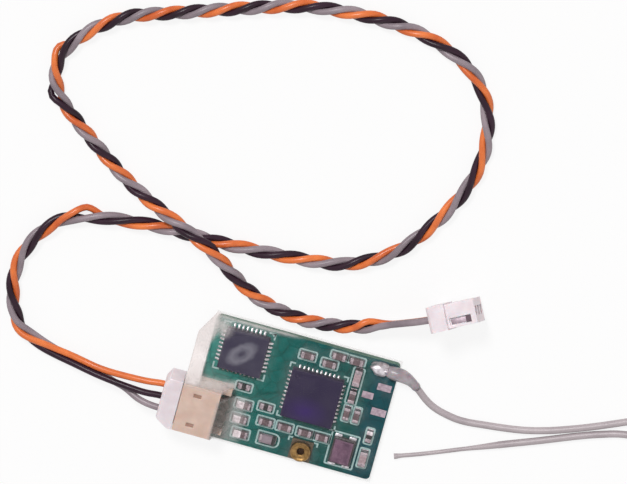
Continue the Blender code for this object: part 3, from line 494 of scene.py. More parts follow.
# %% Antenna
COAX_DIAMETER = 0.81 * MM
COAX_STEP = 0.6 * MM
ELEMENT_DIAMETER = 0.48 * MM
ELEMENT_STEP = 0.4 * MM
ELEMENT_FILLS_COAX = 0.96
TAPER_LENGTH = 5.0 * MM
TIP_LENGTH = 0.9 * MM
TIP_FLARE = 0.4
SOLDER_END = Vector((9.8, 6.3, 0.0)) * MM
COAX_ON_BOARD = ((0.15, 0.1, 0.16), (1.0, 0.06, 0.13), (1.61, 0.0, 0.1))
COAX_ROUTE = (
    (2.72, -0.54, 1.07), (3.66, -1.36, 0.7), (4.44, -2.14, 0.36), (5.29, -2.79, 0.11), (6.11, -3.19, 0.01),
    (6.98, -3.44, 0.0), (8.57, -3.72, 0.0), (10.08, -3.7, 0.0), (11.6, -3.52, 0.0), (13.81, -3.24, 0.0),
    (16.05, -2.86, 0.0), (18.01, -2.34, 0.0), (20.05, -1.64, 0.0), (23.21, -0.33, 0.0), (26.85, 1.4, 0.0),
    (29.2, 2.6, 0.0), (32.2, 3.9, 0.0), (35.7, 4.6, 0.0), (38.8, 3.7, 0.0), (40.2, 1.3, 0.0),
    (39.2, -0.9, 0.0), (36.6, -1.7, 0.0), (33.4, -0.75, 0.0), (30.2, 0.1, 0.0), (27.22, -0.04, 0.0),
    (24.51, -0.86, 0.0), (21.87, -1.92, 0.0), (18.31, -3.51, 0.0), (14.74, -5.03, 0.0), (13.9, -5.4, 0.0),
)
ELEMENT_ROUTE = (
    (13.55, -5.56, 0.34), (11.91, -6.34, 0.12), (9.82, -7.28, 0.0), (7.73, -8.23, 0.0),
    (5.63, -9.15, 0.0), (4.04, -9.79, 0.0), (2.93, -10.21, 0.0),
)

coax_points = route_points(COAX_ON_BOARD, COAX_DIAMETER, SOLDER_END, BOARD_TOP)
coax_line = smooth_line([*coax_points, *route_points(COAX_ROUTE, COAX_DIAMETER, SOLDER_END)], COAX_STEP)
element_points = route_points(ELEMENT_ROUTE, ELEMENT_DIAMETER, SOLDER_END)
element_line = smooth_line([coax_line[-2], coax_line[-1], *element_points], ELEMENT_STEP)
element_length = line_length(element_line)
element_widths = []
for i, place in enumerate(element_line):
    at = element_length * i / (len(element_line) - 1)
    wide = (ELEMENT_FILLS_COAX * COAX_DIAMETER / ELEMENT_DIAMETER - 1) * (1 - ease(at / TAPER_LENGTH))
    flare = TIP_FLARE * ease(1 - (element_length - at) / TIP_LENGTH)
    element_widths.append(1 + wide + flare)
    place.z = max(place.z, element_widths[-1] * ELEMENT_DIAMETER / 2 + LIES_ABOVE_FLOOR)
COAX_JACKET = insulation("grey_coax_jacket", "b3a8ab", "a2979b", 0.38)
coax = cord_curve("coax", coax_line, COAX_DIAMETER, COAX_JACKET, 14)
element = cord_curve("element", element_line, ELEMENT_DIAMETER, COAX_JACKET, 12, element_widths)
for cord, node in ((coax, "antenna_coax"), (element, "antenna_element")):
    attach(cord, BODY)
    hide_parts(node)

# %% [markdown]
# ## The board
#
# The board is glass-epoxy laminate under a green solder mask. Its rim shows the paler laminate, and
# a lighter green marks where copper lies under the mask. A cube is scaled, its four upright edges
# are rounded, and its rim takes the second material.

# %% Mesh helpers


def only(kind, geom):
    """The vertices or the edges in what an operator gives back."""
    return [part for part in geom if isinstance(part, kind)]


def round_off(bm, geom, reach, steps=2, affect="EDGES"):
    """Round edges or corners of a bmesh."""
    bmesh.ops.bevel(bm, geom=geom, offset=reach, segments=steps, profile=0.5, affect=affect, material=-1)


def block(bm, centre, size, edge=0.0, steps=2, look=0, turn=0.0):
    """A box in a bmesh, in metres, with rounded edges. Its faces are given back."""
    old = set(bm.faces)
    made = bmesh.ops.create_cube(bm, size=1.0)["verts"]
    bmesh.ops.scale(bm, vec=size, verts=made)
    bmesh.ops.rotate(bm, verts=made, cent=(0, 0, 0), matrix=Matrix.Rotation(turn, 3, "Z"))
    bmesh.ops.translate(bm, vec=centre, verts=made)
    if edge:
        round_off(bm, list({e for v in made for e in v.link_edges}), edge, steps)
    faces = [f for f in bm.faces if f not in old]
    for face in faces:
        face.material_index = look
    return faces


def ride_for(piece, slot, *nodes):
    """Put a piece on the body and let it stand for these CAD nodes, which are hidden. slot is not used."""
    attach(piece, BODY)
    if nodes:
        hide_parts(*nodes)
    return piece


def foot(node):
    """The middle of a node's underside."""
    low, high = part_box(node)
    return Vector(((low.x + high.x) / 2, (low.y + high.y) / 2, low.z))


def node_copy(node, name, look, slot, edge, steps=2, cuts=(), levels=(), place=Matrix()):
    """A copy of a CAD node with its doubles merged, its flat faces joined and its edges rounded.

    Each cut takes a corner off: a point on the cut and the direction it faces. Each level moves the
    faces at one height in the node's own place to another height, on both of its sides."""
    bm = bmesh.new()
    bm.from_mesh(bpy.data.objects[node].data)
    bmesh.ops.remove_doubles(bm, verts=bm.verts, dist=0.0005 * MM)
    bmesh.ops.dissolve_limit(bm, angle_limit=math.radians(1), verts=bm.verts, edges=bm.edges)
    for lowest, highest, new_height in levels:
        for vert in bm.verts:
            own = place.inverted() @ vert.co
            if lowest * MM <= abs(own.z) <= highest * MM:
                own.z = math.copysign(new_height * MM, own.z)
                vert.co = place @ own
    for at, away in cuts:
        cut = bmesh.ops.bisect_plane(bm, geom=[*bm.verts, *bm.edges, *bm.faces], plane_co=at, plane_no=away,
                                     dist=0.001 * MM, clear_outer=True)["geom_cut"]
        bmesh.ops.contextual_create(bm, geom=only(bmesh.types.BMEdge, cut))
    piece = mesh_piece(name, bm, [look])
    soft = piece.modifiers.new("soft_edges", "BEVEL")
    soft.width = edge
    soft.segments = steps
    soft.limit_method = "ANGLE"
    soft.angle_limit = math.radians(35)
    soft.harden_normals = False
    return ride_for(piece, slot, node)


print("board top, mm:", round(BOARD_TOP / MM, 3))

# %% [markdown]
# Solder mask is a thin glossy lacquer. Over copper it looks lighter and a little yellower, and over
# bare laminate darker and bluer, as on the strip beside the antenna pads. The copper pattern is drawn
# by a cell pattern 1.7 mm across, which reads as poured areas between tracks. The rim shows the
# laminate's glass layers, so its noise is squeezed along Z.

# %% Solder mask
POUR_SIZE = 1.7 * MM
STAIN_SIZE = 0.9 * MM
GREENS_ALONG_BOARD = ((0.0, "328d82"), (0.25, "1e7067"), (0.55, "0c5a57"), (0.82, "085650"), (0.9, "054a52"))
SOLDER_MASK, tree, shader, place = new_material("green_solder_mask")
axes = add(tree, "SeparateXYZ", {}, {"Vector": place})
along_board = add(tree, "MapRange", {"From Min": -10.7 * MM, "From Max": 10.7 * MM},
                  {"Value": axes})
tone = blend_colours(tree, along_board, GREENS_ALONG_BOARD)
pour = add(tree, "TexVoronoi", {"Scale": 1 / POUR_SIZE}, {"Vector": place},
           feature="DISTANCE_TO_EDGE")
gap = blend_colours(tree, pour, ((0.02, "b9b9b9"), (0.06, "ffffff")))
cloud = add(tree, "TexNoise", {"Scale": 1 / STAIN_SIZE, "Detail": 4.0}, {"Vector": place})
stain = blend_colours(tree, cloud, ((0.25, "c4c4c4"), (0.75, "ffffff")))
for share, layer in ((0.55, gap), (0.8, stain)):
    tone = add(tree, "Mix", {"Factor": share}, {6: tone, 7: layer},
               data_type="RGBA", blend_type="MULTIPLY").outputs[2]
ripple = add(tree, "Bump", {"Strength": 0.25, "Distance": 0.03 * MM}, {"Height": gap})
settle(tree, shader, {"Roughness": 0.32, "Specular IOR Level": 0.16},
       {"Base Color": tone, "Normal": ripple})

LAMINATE, tree, shader, place = new_material("glass_epoxy_laminate_edge")
stretched = add(tree, "Mapping", {"Scale": (1.0, 1.0, 9.0)}, {"Vector": place})
layers = add(tree, "TexNoise", {"Scale": 1 / (0.7 * MM), "Detail": 3.0},
             {"Vector": stretched})
colour = blend_colours(tree, layers, ((0.3, "2f5f54"), (0.7, "64836f")))
settle(tree, shader, {"Roughness": 0.55}, {"Base Color": colour})
print("mask and laminate made")

# %% Laminate
BOARD_SIZE = Vector((board_high.x - board_low.x, board_high.y - board_low.y, BOARD_TOP - BOARD_BOTTOM))
BOARD_CORNER = 0.5 * MM
BOARD_RIM = 0.03 * MM

bm = bmesh.new()
block(bm, (0, 0, (BOARD_TOP + BOARD_BOTTOM) / 2), BOARD_SIZE)
upright = [e for e in bm.edges if abs((e.verts[0].co - e.verts[1].co).z) > 0.5 * BOARD_SIZE.z]
round_off(bm, upright, BOARD_CORNER, 6)
round_off(bm, [e for e in bm.edges if abs(e.calc_face_angle(0.0)) > 1.0], BOARD_RIM)
for face in bm.faces:
    face.material_index = 0 if abs(face.normal.z) > 0.6 else 1
ride_for(mesh_piece("board_laminate", bm, [SOLDER_MASK, LAMINATE]), "solder_mask_green", "circuit_board")
print("board, mm:", [round(v / MM, 2) for v in BOARD_SIZE])

# %% [markdown]
# White ink outlines each part. One outline is a plane whose corners are rounded, inset by the width
# of the ink line, with the inner face taken out and the rest raised by the thickness of the ink.

# %% Silkscreen
INK_WIDTH = 0.19 * MM
INK_HEIGHT = 0.02 * MM
SIDE_ROOM = 0.4
END_ROOM = 0.7
# The lower sides lie further out, where the camera sees them past the parts, but for two without room
LOWER_REACH = {True: 0.12, False: 0.24}
NO_ROOM_BELOW = ("capacitor_2", "inductor")
OWN_OUTLINE = (
    *(f"capacitor_{i}" for i in range(1, 16) if i not in (4, 5)), "inductor",
    *(f"resistor_{i}" for i in (1, 2, 3)),
)
INK, tree, shader, place = new_material("white_silkscreen_ink")
specks = add(tree, "TexNoise", {"Scale": 1 / (0.2 * MM), "Detail": 3.0}, {"Vector": place})
colour = blend_colours(tree, specks, ((0.3, "84a6a4"), (0.6, "a9c4c1")))
settle(tree, shader, {"Roughness": 0.6}, {"Base Color": colour})


def outline(bm, x, y, length, width, corner=0.25, ends=None):
    """One printed outline, in millimetres, centred at x and y."""
    old = set(bm.faces)
    made = bmesh.ops.create_grid(bm, x_segments=1, y_segments=1, size=0.5)["verts"]
    bmesh.ops.scale(bm, vec=(length * MM, width * MM, 1), verts=made)
    bmesh.ops.translate(bm, vec=(x * MM, y * MM, BOARD_TOP), verts=made)
    for vert in list(made):
        reach = ends if ends and vert.co.x > x * MM else corner
        round_off(bm, [vert], reach * MM, 5, "VERTICES")
    face = [f for f in bm.faces if f not in old]
    bmesh.ops.inset_region(bm, faces=face, thickness=INK_WIDTH, use_boundary=True, use_even_offset=True)
    bmesh.ops.delete(bm, geom=face, context="FACES_ONLY")
    raised = bmesh.ops.extrude_face_region(bm, geom=[f for f in bm.faces if f not in old])["geom"]
    bmesh.ops.translate(bm, vec=(0, 0, INK_HEIGHT), verts=only(bmesh.types.BMVert, raised))


def middle(node):
    """A node's centre across the board, in millimetres."""
    return tuple(foot(node).xy / MM)


def part_size(node):
    """A node's size across the board, in millimetres."""
    low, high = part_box(node)
    return (high.x - low.x) / MM, (high.y - low.y) / MM


bm = bmesh.new()
for node in OWN_OUTLINE:
    x, y = middle(node)
    across, up_board = part_size(node)
    turned = up_board > across
    room_x, room_y = (SIDE_ROOM, END_ROOM) if turned else (END_ROOM, SIDE_ROOM)
    more = 0.0 if node in NO_ROOM_BELOW else LOWER_REACH[turned]
    outline(bm, x, y - more / 2, across + room_x, up_board + room_y + more)
(x4, y4), (x5, y5) = middle("capacitor_4"), middle("capacitor_5")
(diode_x, diode_y), (crystal_x, crystal_y) = middle("diode"), middle("crystal_base")
outline(bm, (x4 + x5) / 2, (y4 + y5) / 2, 1.45, y4 - y5 + 2.3)
outline(bm, diode_x + 0.1, diode_y - 0.16, 2.7, 1.82, 0.2, 0.7)
outline(bm, crystal_x, crystal_y, 3.35, 4.3, 0.2)
print("outlines:", len(OWN_OUTLINE) + 3)

# %% Corner marks
# Node, distances of the marks from its middle and length of their legs, in millimetres, and its corners
CORNER_MARKS = (
    ("mcu_chip", 3.05, 3.05, 0.85, ((-1, -1), (-1, 1), (1, -1), (1, 1))),
    ("radio_chip", 3.45, 3.45, 0.65, ((-1, 1), (1, 1), (-1, -1), (1, -1))),
    ("rf_socket_shell", 1.75, 1.3, 0.55, ((-1, 1), (1, 1))),
)
FIRST_PIN_MARK_AT = 2.82
FIRST_PIN_MARK_SIZE = 0.36 * MM


def corner_mark(bm, x, y, to_x, to_y, reach):
    """A printed corner bracket whose legs run to the inside."""
    width = INK_WIDTH / MM
    for dx, dy, across, up_board in (
        (to_x * reach / 2, to_y * width / 2, reach, width),
        (to_x * width / 2, to_y * (width + reach) / 2, width, reach - width),
    ):
        block(bm, ((x + dx) * MM, (y + dy) * MM, BOARD_TOP + INK_HEIGHT / 2),
              (across * MM, up_board * MM, INK_HEIGHT))


for node, from_x, from_y, reach, corners in CORNER_MARKS:
    x, y = middle(node)
    for side_x, side_y in corners:
        corner_mark(bm, x + side_x * from_x, y + side_y * from_y, -side_x, -side_y, reach)
x, y = ((at + FIRST_PIN_MARK_AT) * MM for at in middle("mcu_chip"))
place = Matrix.Translation((x, y, BOARD_TOP + INK_HEIGHT / 2)) @ Matrix.Rotation(math.radians(-45), 4, "Z")
bmesh.ops.create_cone(bm, cap_ends=True, segments=3, radius1=FIRST_PIN_MARK_SIZE, radius2=FIRST_PIN_MARK_SIZE,
                      depth=INK_HEIGHT, matrix=place)
bmesh.ops.recalc_face_normals(bm, faces=bm.faces)
silk = ride_for(mesh_piece("silkscreen", bm, [INK], smooth=False), "solder_mask_green")
print("silkscreen faces:", len(silk.data.polygons))

# %% [markdown]
# Solder and tin plating are bright and a little grey, with a rippled skin. A metal shader with a low
# noise bump gives the broken highlights that mark them as solder. On the bright solder, the light and
# dark shades that a noise blends are painted reflections.

# %% Tin and solder


def soft_metal(name, light, dark, roughness, ripple, strength):
    """A plated or soldered metal skin. Its ripple is a size in millimetres."""
    return skin(name, light, dark, (roughness - 0.08, roughness + 0.14), (ripple, 4.0), (strength, 0.05),
                sockets={"Metallic": 1.0}, blend=(0.3, 0.65))


TIN = soft_metal("tinned_copper_pad", "b5a3ad", "8c7a85", 0.42, 0.3, 0.35)
# Painted reflections: the near-white shade stands for bright surroundings mirrored in the solder, the grey
# one for darker ones
SOLDER = soft_metal("tin_solder", "efebf0", "8d858b", 0.3, 0.3, 0.5)
CAP_TIN = soft_metal("dull_tinned_cap", "b3a5aa", "7b6f74", 0.45, 0.25, 0.4)
PAD_SOLDER = soft_metal("tin_solder_on_pads", "d9d6d8", "857d83", 0.36, 0.2, 0.5)
DULL_SOLDER = soft_metal("dull_tin_solder", "a99fa4", "6f666b", 0.4, 0.25, 0.4)
GOLD = soft_metal("gold_plated_brass", "957549", "5f4729", 0.38, 0.45, 0.15)
print("metals:", GOLD.name, SOLDER.name)

# %% Bare pads
BARE_PADS = ((8.0, 2.75, 1.3, 0.8), (9.6, 4.15, 1.6, 0.85), (9.7, 1.05, 1.7, 0.9))
PAD_HEIGHT = 0.05 * MM
bm = bmesh.new()
for x, y, length, width in BARE_PADS:
    block(bm, (x * MM, y * MM, BOARD_TOP + PAD_HEIGHT / 2), (length * MM, width * MM, PAD_HEIGHT), 0.02 * MM)
ride_for(mesh_piece("bare_pads", bm, [TIN]), "tinned_metal")
print("bare pads:", len(BARE_PADS))

# %% [markdown]
# ## The flat chips
#
# Each flat chip is a moulded block of dark epoxy, with the small round dimple of its first corner.
# Its contacts end flush with its sides, so what shows is a row of small solder fillets on the pads
# round it, 0.5 mm apart. The controller carries a paler oval ring, and the radio chip a painted violet
# reflection. Both are patches whose edge wanders: an ellipse in the chip's plane, moved about by noise.

# %% Chip epoxy
PATCH_WANDER = 0.6 * MM


def chip_epoxy(name, light, dark, patch=None):
    """Moulded epoxy with fine grain, and a tinted patch where one is given."""
    made = skin(name, light, dark, (0.4, 0.62), (1.8, 3.0), (0.3, 0.01), (0.06, 2.0),
                {"Specular IOR Level": 0.24})
    if patch:
        centre, turn, size, tint, stops = patch
        tree = made.node_tree
        shader = tree.nodes["Principled BSDF"]
        plain = shader.inputs["Base Color"].links[0].from_socket
        place = add(tree, "TexCoord").outputs["Object"]
        wander = add(tree, "TexNoise", {"Scale": 1 / (0.7 * MM), "Detail": 3.0}, {"Vector": place})
        at = wander.outputs["Color"]
        for operation, values, links in (
            ("SUBTRACT", {1: (0.5, 0.5, 0.5)}, {}), ("SCALE", {"Scale": PATCH_WANDER}, {}),
            ("ADD", {}, {1: place}), ("MULTIPLY", {1: (1.0, 1.0, 0.0)}, {}),
        ):
            at = add(tree, "VectorMath", values, {0: at, **links}, operation=operation)
        local = add(tree, "Mapping", {"Location": centre, "Rotation": (0, 0, turn), "Scale": size},
                    {"Vector": at}, vector_type="TEXTURE")
        far = add(tree, "VectorMath", {}, {0: local}, operation="LENGTH")
        amount = blend_colours(tree, far.outputs["Value"], stops)
        mixed = add(tree, "Mix", {7: linear(tint)}, {0: amount, 6: plain}, data_type="RGBA")
        settle(tree, shader, {}, {"Base Color": mixed.outputs[2]})
    return made


# Centre, turn, half sizes, tint, and how much of it shows from the centre outwards
PALE_OVAL_PATCH = (
    Vector((-6.92, 3.82, 0.0)) * MM, math.radians(47), (2.2 * MM, 1.25 * MM, 1.0), "807e89",
    ((0.12, "484848"), (0.3, "a8a8a8"), (0.58, "dcdcdc"), (0.78, "a8a8a8"), (1.0, "000000")),
)
# A painted violet reflection on the radio chip
PAINTED_VIOLET_REFLECTION = (
    Vector((1.6, -0.9, 0.0)) * MM, 0.0, (2.9 * MM, 2.0 * MM, 1.0), "36205c",
    ((0.0, "ffffff"), (0.45, "b0b0b0"), (1.0, "000000")),
)
MCU_EPOXY = chip_epoxy("controller_chip_epoxy", "3f3b4c", "332e42", PALE_OVAL_PATCH)
RADIO_EPOXY = chip_epoxy("radio_chip_epoxy", "302840", "241b38", PAINTED_VIOLET_REFLECTION)
GREY_EPOXY = chip_epoxy("small_part_epoxy", "a1929a", "7c6d75")
node_copy("mcu_chip", "controller_chip", MCU_EPOXY, "chip_epoxy", 0.03 * MM)
node_copy("radio_chip", "radio_chip_body", RADIO_EPOXY, "chip_epoxy", 0.03 * MM)
print("chips made")

# %% Chip pads
PAD_PITCH = 0.5
PAD_UNDER = 0.25
PAD_SLOPE = 0.45
PAD_EDGE = 0.035 * MM


def chip_pads(name, node, count, width, length, height):
    """The solder fillets on all four sides of a flat chip, in millimetres."""
    bm = bmesh.new()
    x, y = middle(node)
    half = part_size(node)[0] / 2
    for quarter in range(4):
        turn = Matrix.Rotation(math.tau * quarter / 4, 3, "Z")
        for i in range(count):
            at = turn @ Vector((half + length / 2 - PAD_UNDER, (i - (count - 1) / 2) * PAD_PITCH, 0.0))
            centre = Vector(((x + at.x) * MM, (y + at.y) * MM, BOARD_TOP + height * MM / 2))
            faces = block(bm, centre, (length * MM, width * MM, height * MM), turn=math.tau * quarter / 4)
            for vert in {v for f in faces for v in f.verts if v.co.z > centre.z}:
                outer = (turn.transposed() @ (vert.co - Vector((x * MM, y * MM, 0.0)))).x
                if outer > (half + length / 2) * MM:
                    vert.co -= turn @ Vector((PAD_SLOPE * length * MM, 0.0, 0.0))
            round_off(bm, list({e for f in faces for e in f.edges}), PAD_EDGE, 1)
    ride_for(mesh_piece(name, bm, [PAD_SOLDER]), "tinned_metal")
    print(name, "pads:", count * 4)


chip_pads("controller_pads", "mcu_chip", 8, 0.25, 0.76, 0.24)
chip_pads("radio_pads", "radio_chip", 10, 0.23, 0.6, 0.22)

# %% [markdown]
# ## Chip parts
#
# A chip part is a small fired ceramic block with tinned end caps, held by two solder fillets. The
# fillet's hollow slope is an arc made with spin, closed to a face and extruded along the cap's width.

# %% Small ceramics


def fired_ceramic(name, light, dark, roughness, shine=0.5):
    """Fired ceramic or glaze."""
    return skin(name, light, dark, roughness, (0.25, 4.0), (0.2, 0.02), sockets={"Specular IOR Level": shine})


CERAMIC = fired_ceramic("capacitor_ceramic_brown", "745f63", "4c3b3f", 0.45)
PALE_CERAMIC = fired_ceramic("ceramic_pale_pink", "b79fa3", "937b80", 0.45)
# A lit copy of the tinned cap: its brighter shades are a painted highlight
PAINTED_HIGHLIGHT_TIN = soft_metal("tinned_cap_painted_highlight", "e6dcdf", "b3a3a8", 0.4, 0.35, 0.3)
GLAZE = fired_ceramic("resistor_black_glaze", "1f1b1e", "0d0b0d", 0.35)
FILLET_REACH = 0.16 * MM
FILLET_SHARE = 0.72
BODY_SHARE = 0.94


def fillet(bm, at_x, side, width, height):
    """A hollow solder slope against an end cap that faces side, in metres."""
    top = bmesh.ops.create_vert(bm, co=(at_x, -width / 2, height))["vert"][0]
    bmesh.ops.spin(bm, geom=[top], cent=(at_x + side * height, -width / 2, height), axis=(0, 1, 0),
                   dvec=(0, 0, 0), angle=-side * math.pi / 2, steps=4, use_merge=False,
                   use_normal_flip=False, use_duplicate=False)
    line = sorted((v for v in bm.verts if v.link_edges and not v.link_faces), key=lambda v: -v.co.z)
    for vert in line:
        vert.co.x = at_x + (vert.co.x - at_x) * FILLET_REACH / height
    corner = bmesh.ops.create_vert(bm, co=(at_x, -width / 2, 0.0))["vert"][0]
    face = bm.faces.new([corner, *line])
    pulled = bmesh.ops.extrude_face_region(bm, geom=[face])["geom"]
    bmesh.ops.translate(bm, vec=(0, width, 0), verts=only(bmesh.types.BMVert, pulled))


def chip_part(node, body_look, slot, cap_shares=(0.25, 0.25), cap_looks=(CAP_TIN, CAP_TIN)):
    """A detailed chip part in the place of its CAD node. Its caps are shares of its length."""
    low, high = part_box(node)
    size = high - low
    turned = size.y > size.x
    length, width, height = max(size.x, size.y), min(size.x, size.y), size.z
    bm = bmesh.new()
    block(bm, (0, 0, height / 2), (length - 0.1 * MM, width * BODY_SHARE, height * BODY_SHARE), 0.03 * MM)
    for look, (side, share) in enumerate(zip((-1, 1), cap_shares), 1):
        cap = share * length
        block(bm, (side * (length - cap) / 2, 0, height / 2), (cap, width, height), 0.05 * MM, 3, look)
        old = set(bm.faces)
        fillet(bm, side * (length / 2 - 0.02 * MM), side, width * 0.96, height * FILLET_SHARE)
        for face in bm.faces:
            if face not in old:
                face.material_index = 3
    bmesh.ops.recalc_face_normals(bm, faces=bm.faces)
    turn = Matrix.Rotation(math.pi / 2 if turned else 0.0, 4, "Z")
    bmesh.ops.transform(bm, matrix=Matrix.Translation(foot(node)) @ turn, verts=bm.verts)
    ride_for(mesh_piece(node + "_soldered", bm, [body_look, *cap_looks, DULL_SOLDER]), slot, node)


for i in range(1, 16):
    look = PALE_CERAMIC if i in (4, 8) else CERAMIC
    # Capacitors 9 to 11 get a left cap over half their length in the brighter tin, a painted highlight on
    # their left ends
    caps = ((0.55, 0.18), (PAINTED_HIGHLIGHT_TIN, CAP_TIN)) if i in (9, 10, 11) else ()
    chip_part(f"capacitor_{i}", look, "capacitor_ceramic", *caps)
chip_part("inductor", CERAMIC, "capacitor_ceramic")
chip_part("diode", GREY_EPOXY, "chip_epoxy", (0.16, 0.2), (CAP_TIN, GLAZE))
# resistor_1's second cap is in the brighter tin, a painted highlight on that end
chip_part("resistor_1", GLAZE, "resistor_glaze", (0.32, 0.34), (CAP_TIN, PAINTED_HIGHLIGHT_TIN))
for i in (2, 3):
    chip_part(f"resistor_{i}", GLAZE, "resistor_glaze", (0.34, 0.34))
print("chip parts: 20")

# %% [markdown]
# ## Crystal and radio socket
#
# The crystal is a ceramic tray closed by a nickel lid, with a soldered pad at each corner. The radio
# socket is a turned, gold-plated ring that slopes down to an insulator in its hole, painted dark brown
# as the shade down in the hole. It is round, so its half section is spun about its axis.

# %% Crystal
LID = soft_metal("nickel_crystal_lid", "765b6c", "5a4555", 0.42, 0.8, 0.12)
TRAY = fired_ceramic("crystal_tray_ceramic", "3a3134", "241e20", 0.5)
LID_RIM = 0.16 * MM
LID_SUNK = 0.03 * MM
CRYSTAL_PAD = Vector((0.85, 0.5, 0.28)) * MM
node_copy("crystal_base", "crystal_tray", TRAY, "crystal_ceramic", 0.04 * MM)
low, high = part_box("crystal_lid")
bm = bmesh.new()
faces = block(bm, (low + high) / 2, high - low, 0.05 * MM)
top = [max(faces, key=lambda f: f.calc_center_median().z + f.calc_area())]
bmesh.ops.inset_region(bm, faces=top, thickness=LID_RIM, use_boundary=True, use_even_offset=True)
bmesh.ops.translate(bm, vec=(0, 0, -LID_SUNK), verts=list({v for f in top for v in f.verts}))
ride_for(mesh_piece("crystal_cover", bm, [LID]), "crystal_metal", "crystal_lid")
low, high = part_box("crystal_base")
bm = bmesh.new()
for side_x, x in ((-1, low.x), (1, high.x)):
    for side_y, y in ((-1, low.y), (1, high.y)):
        centre = (x - side_x * 0.42 * MM, y + side_y * 0.1 * MM, BOARD_TOP + CRYSTAL_PAD.z / 2)
        block(bm, centre, CRYSTAL_PAD, 0.08 * MM, 3)
ride_for(mesh_piece("crystal_pads", bm, [SOLDER]), "tinned_metal")
print("crystal made")

# %% Radio socket
SOCKET_BROWN = fired_ceramic("moulded_brown_socket_base", "5a4a34", "3f3324", 0.5)
# The insulator's dark brown is painted shade in the hole
HOLE_PAINTED_SHADE = fired_ceramic("shaded_socket_insulator", "3a2413", "2a180b", 0.6, 0.1)
# The ring's half section: radius and height in millimetres, from its foot outside to the hole's middle
SOCKET_PROFILE = (
    (1.2, 0.0), (1.2, 0.4), (1.13, 0.5), (0.98, 0.5), (0.88, 0.42), (0.62, 0.38), (0.46, 0.32), (0.38, 0.2),
    (0.35, 0.03), (0.0, 0.02),
)
SOCKET_HOLE = 0.42 * MM
node_copy("rf_socket_base", "socket_base", SOCKET_BROWN, "socket_plastic", 0.04 * MM)
bm = bmesh.new()
section = [bmesh.ops.create_vert(bm, co=(r * MM, 0, z * MM))["vert"][0] for r, z in SOCKET_PROFILE]
joined = [bm.edges.new(pair) for pair in zip(section, section[1:])]
bmesh.ops.spin(bm, geom=[*section, *joined], cent=(0, 0, 0), axis=(0, 0, 1), dvec=(0, 0, 0), angle=math.tau,
               steps=36, use_merge=True, use_normal_flip=False, use_duplicate=False)
bmesh.ops.remove_doubles(bm, verts=bm.verts, dist=0.001 * MM)
bmesh.ops.contextual_create(bm, geom=[e for e in bm.edges if e.is_boundary])
bmesh.ops.recalc_face_normals(bm, faces=bm.faces)
for face in bm.faces:
    face.material_index = 1 if max(v.co.xy.length for v in face.verts) < SOCKET_HOLE else 0
bmesh.ops.translate(bm, vec=foot("rf_socket_shell"), verts=bm.verts)
ride_for(mesh_piece("socket_ring", bm, [GOLD, HOLE_PAINTED_SHADE]), "gilt_brass", "rf_socket_shell")
print("socket made")

# %% [markdown]
# ## Header and plugs
#
# The header and both plugs are moulded nylon. It is waxy: light goes a little way in, so edges look
# warm and the grain is soft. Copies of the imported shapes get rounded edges. The plug in the header
# has its rear corners cut off, and the far plug's collar and nose come closer in thickness.

# %% Moulded nylon


def moulded_nylon(name, light, dark, depth_colour, roughness, depth):
    """Waxy moulded nylon. Light goes in by its depth, in millimetres."""
    return skin(name, light, dark, roughness, (1.6, 4.0), (0.18, 0.015), (0.09, 2.0), {
        "IOR": 1.53, "Subsurface Weight": 0.35, "Subsurface Radius": linear(depth_colour)[:3],
        "Subsurface Scale": depth * MM,
    })


BEIGE_NYLON = moulded_nylon("beige_moulded_nylon", "d9c0b2", "c9ab9c", "ff9a70", 0.42, 0.35)
WHITE_NYLON = moulded_nylon("white_moulded_nylon", "ece2e6", "ddd0d5", "ffc8b8", 0.35, 0.6)
SLOT_NYLON = moulded_nylon("shaded_slot_nylon", "a98577", "94705f", "ff9a70", 0.6, 0.2)
PLUG_CORNERS = (
    (Vector((plug_low.x, plug_low.y + 0.95 * MM, 0.0)), Vector((-0.95, -1.5, 0.0))),
    (Vector((plug_low.x, plug_high.y - 0.9 * MM, 0.0)), Vector((-0.9, 0.5, 0.0))),
)
# Half thicknesses in millimetres, from one to another, and what they become: the collar, then the nose
FAR_PLUG_LEVELS = ((1.55, 1.8, 1.5), (1.2, 1.3, 1.38))
node_copy("header_housing", "header_body", BEIGE_NYLON, "beige_nylon", 0.07 * MM)
node_copy("board_plug_housing", "board_plug_body", WHITE_NYLON, "white_nylon", 0.12 * MM, 3, PLUG_CORNERS)
far_plug = node_copy("far_plug_housing", "far_plug_body", WHITE_NYLON, "white_nylon", 0.12 * MM, 3,
                     levels=FAR_PLUG_LEVELS, place=FAR_PLUG_PLACE)
print("nylon housings made")

# %% Slot floors and contacts
SLOT_SIZE = Vector((0.86, 0.41, 0.3)) * MM
SLOT_FROM_MOUTH = 1.85 * MM
SLOT_FROM_SIDE = 1.1 * MM
SLOT_DEPTH = 0.1 * MM
low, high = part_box("header_housing")
bm = bmesh.new()
for y in (low.y + SLOT_FROM_SIDE, high.y - SLOT_FROM_SIDE):
    block(bm, (low.x + SLOT_FROM_MOUTH, y, high.z - SLOT_DEPTH - SLOT_SIZE.z / 2), SLOT_SIZE)
ride_for(mesh_piece("header_slot_floors", bm, [SLOT_NYLON]), "beige_nylon")
CONTACT = soft_metal("tinned_sheet_contact", "d8d0d2", "a89f9f", 0.32, 0.4, 0.1)
SHADED_CONTACT = soft_metal("shaded_contact_spring", "a7979f", "857780", 0.5, 0.3, 0.3)
SHADED_GAP = fired_ceramic("shaded_gap_in_plug", "6b5761", "54434c", 0.7)
DULL_PIN = soft_metal("dull_tinned_pin", "857b76", "5d5551", 0.5, 0.3, 0.3)
WIRE_CONTACTS = (("header_pin", DULL_PIN), ("board_plug_terminal", CONTACT), ("far_plug_terminal", CONTACT))
for node, look in WIRE_CONTACTS:
    for i in (1, 2, 3):
        bpy.data.objects[f"{node}_{i}"].material_slots[0].material = look
print("contacts: 9")

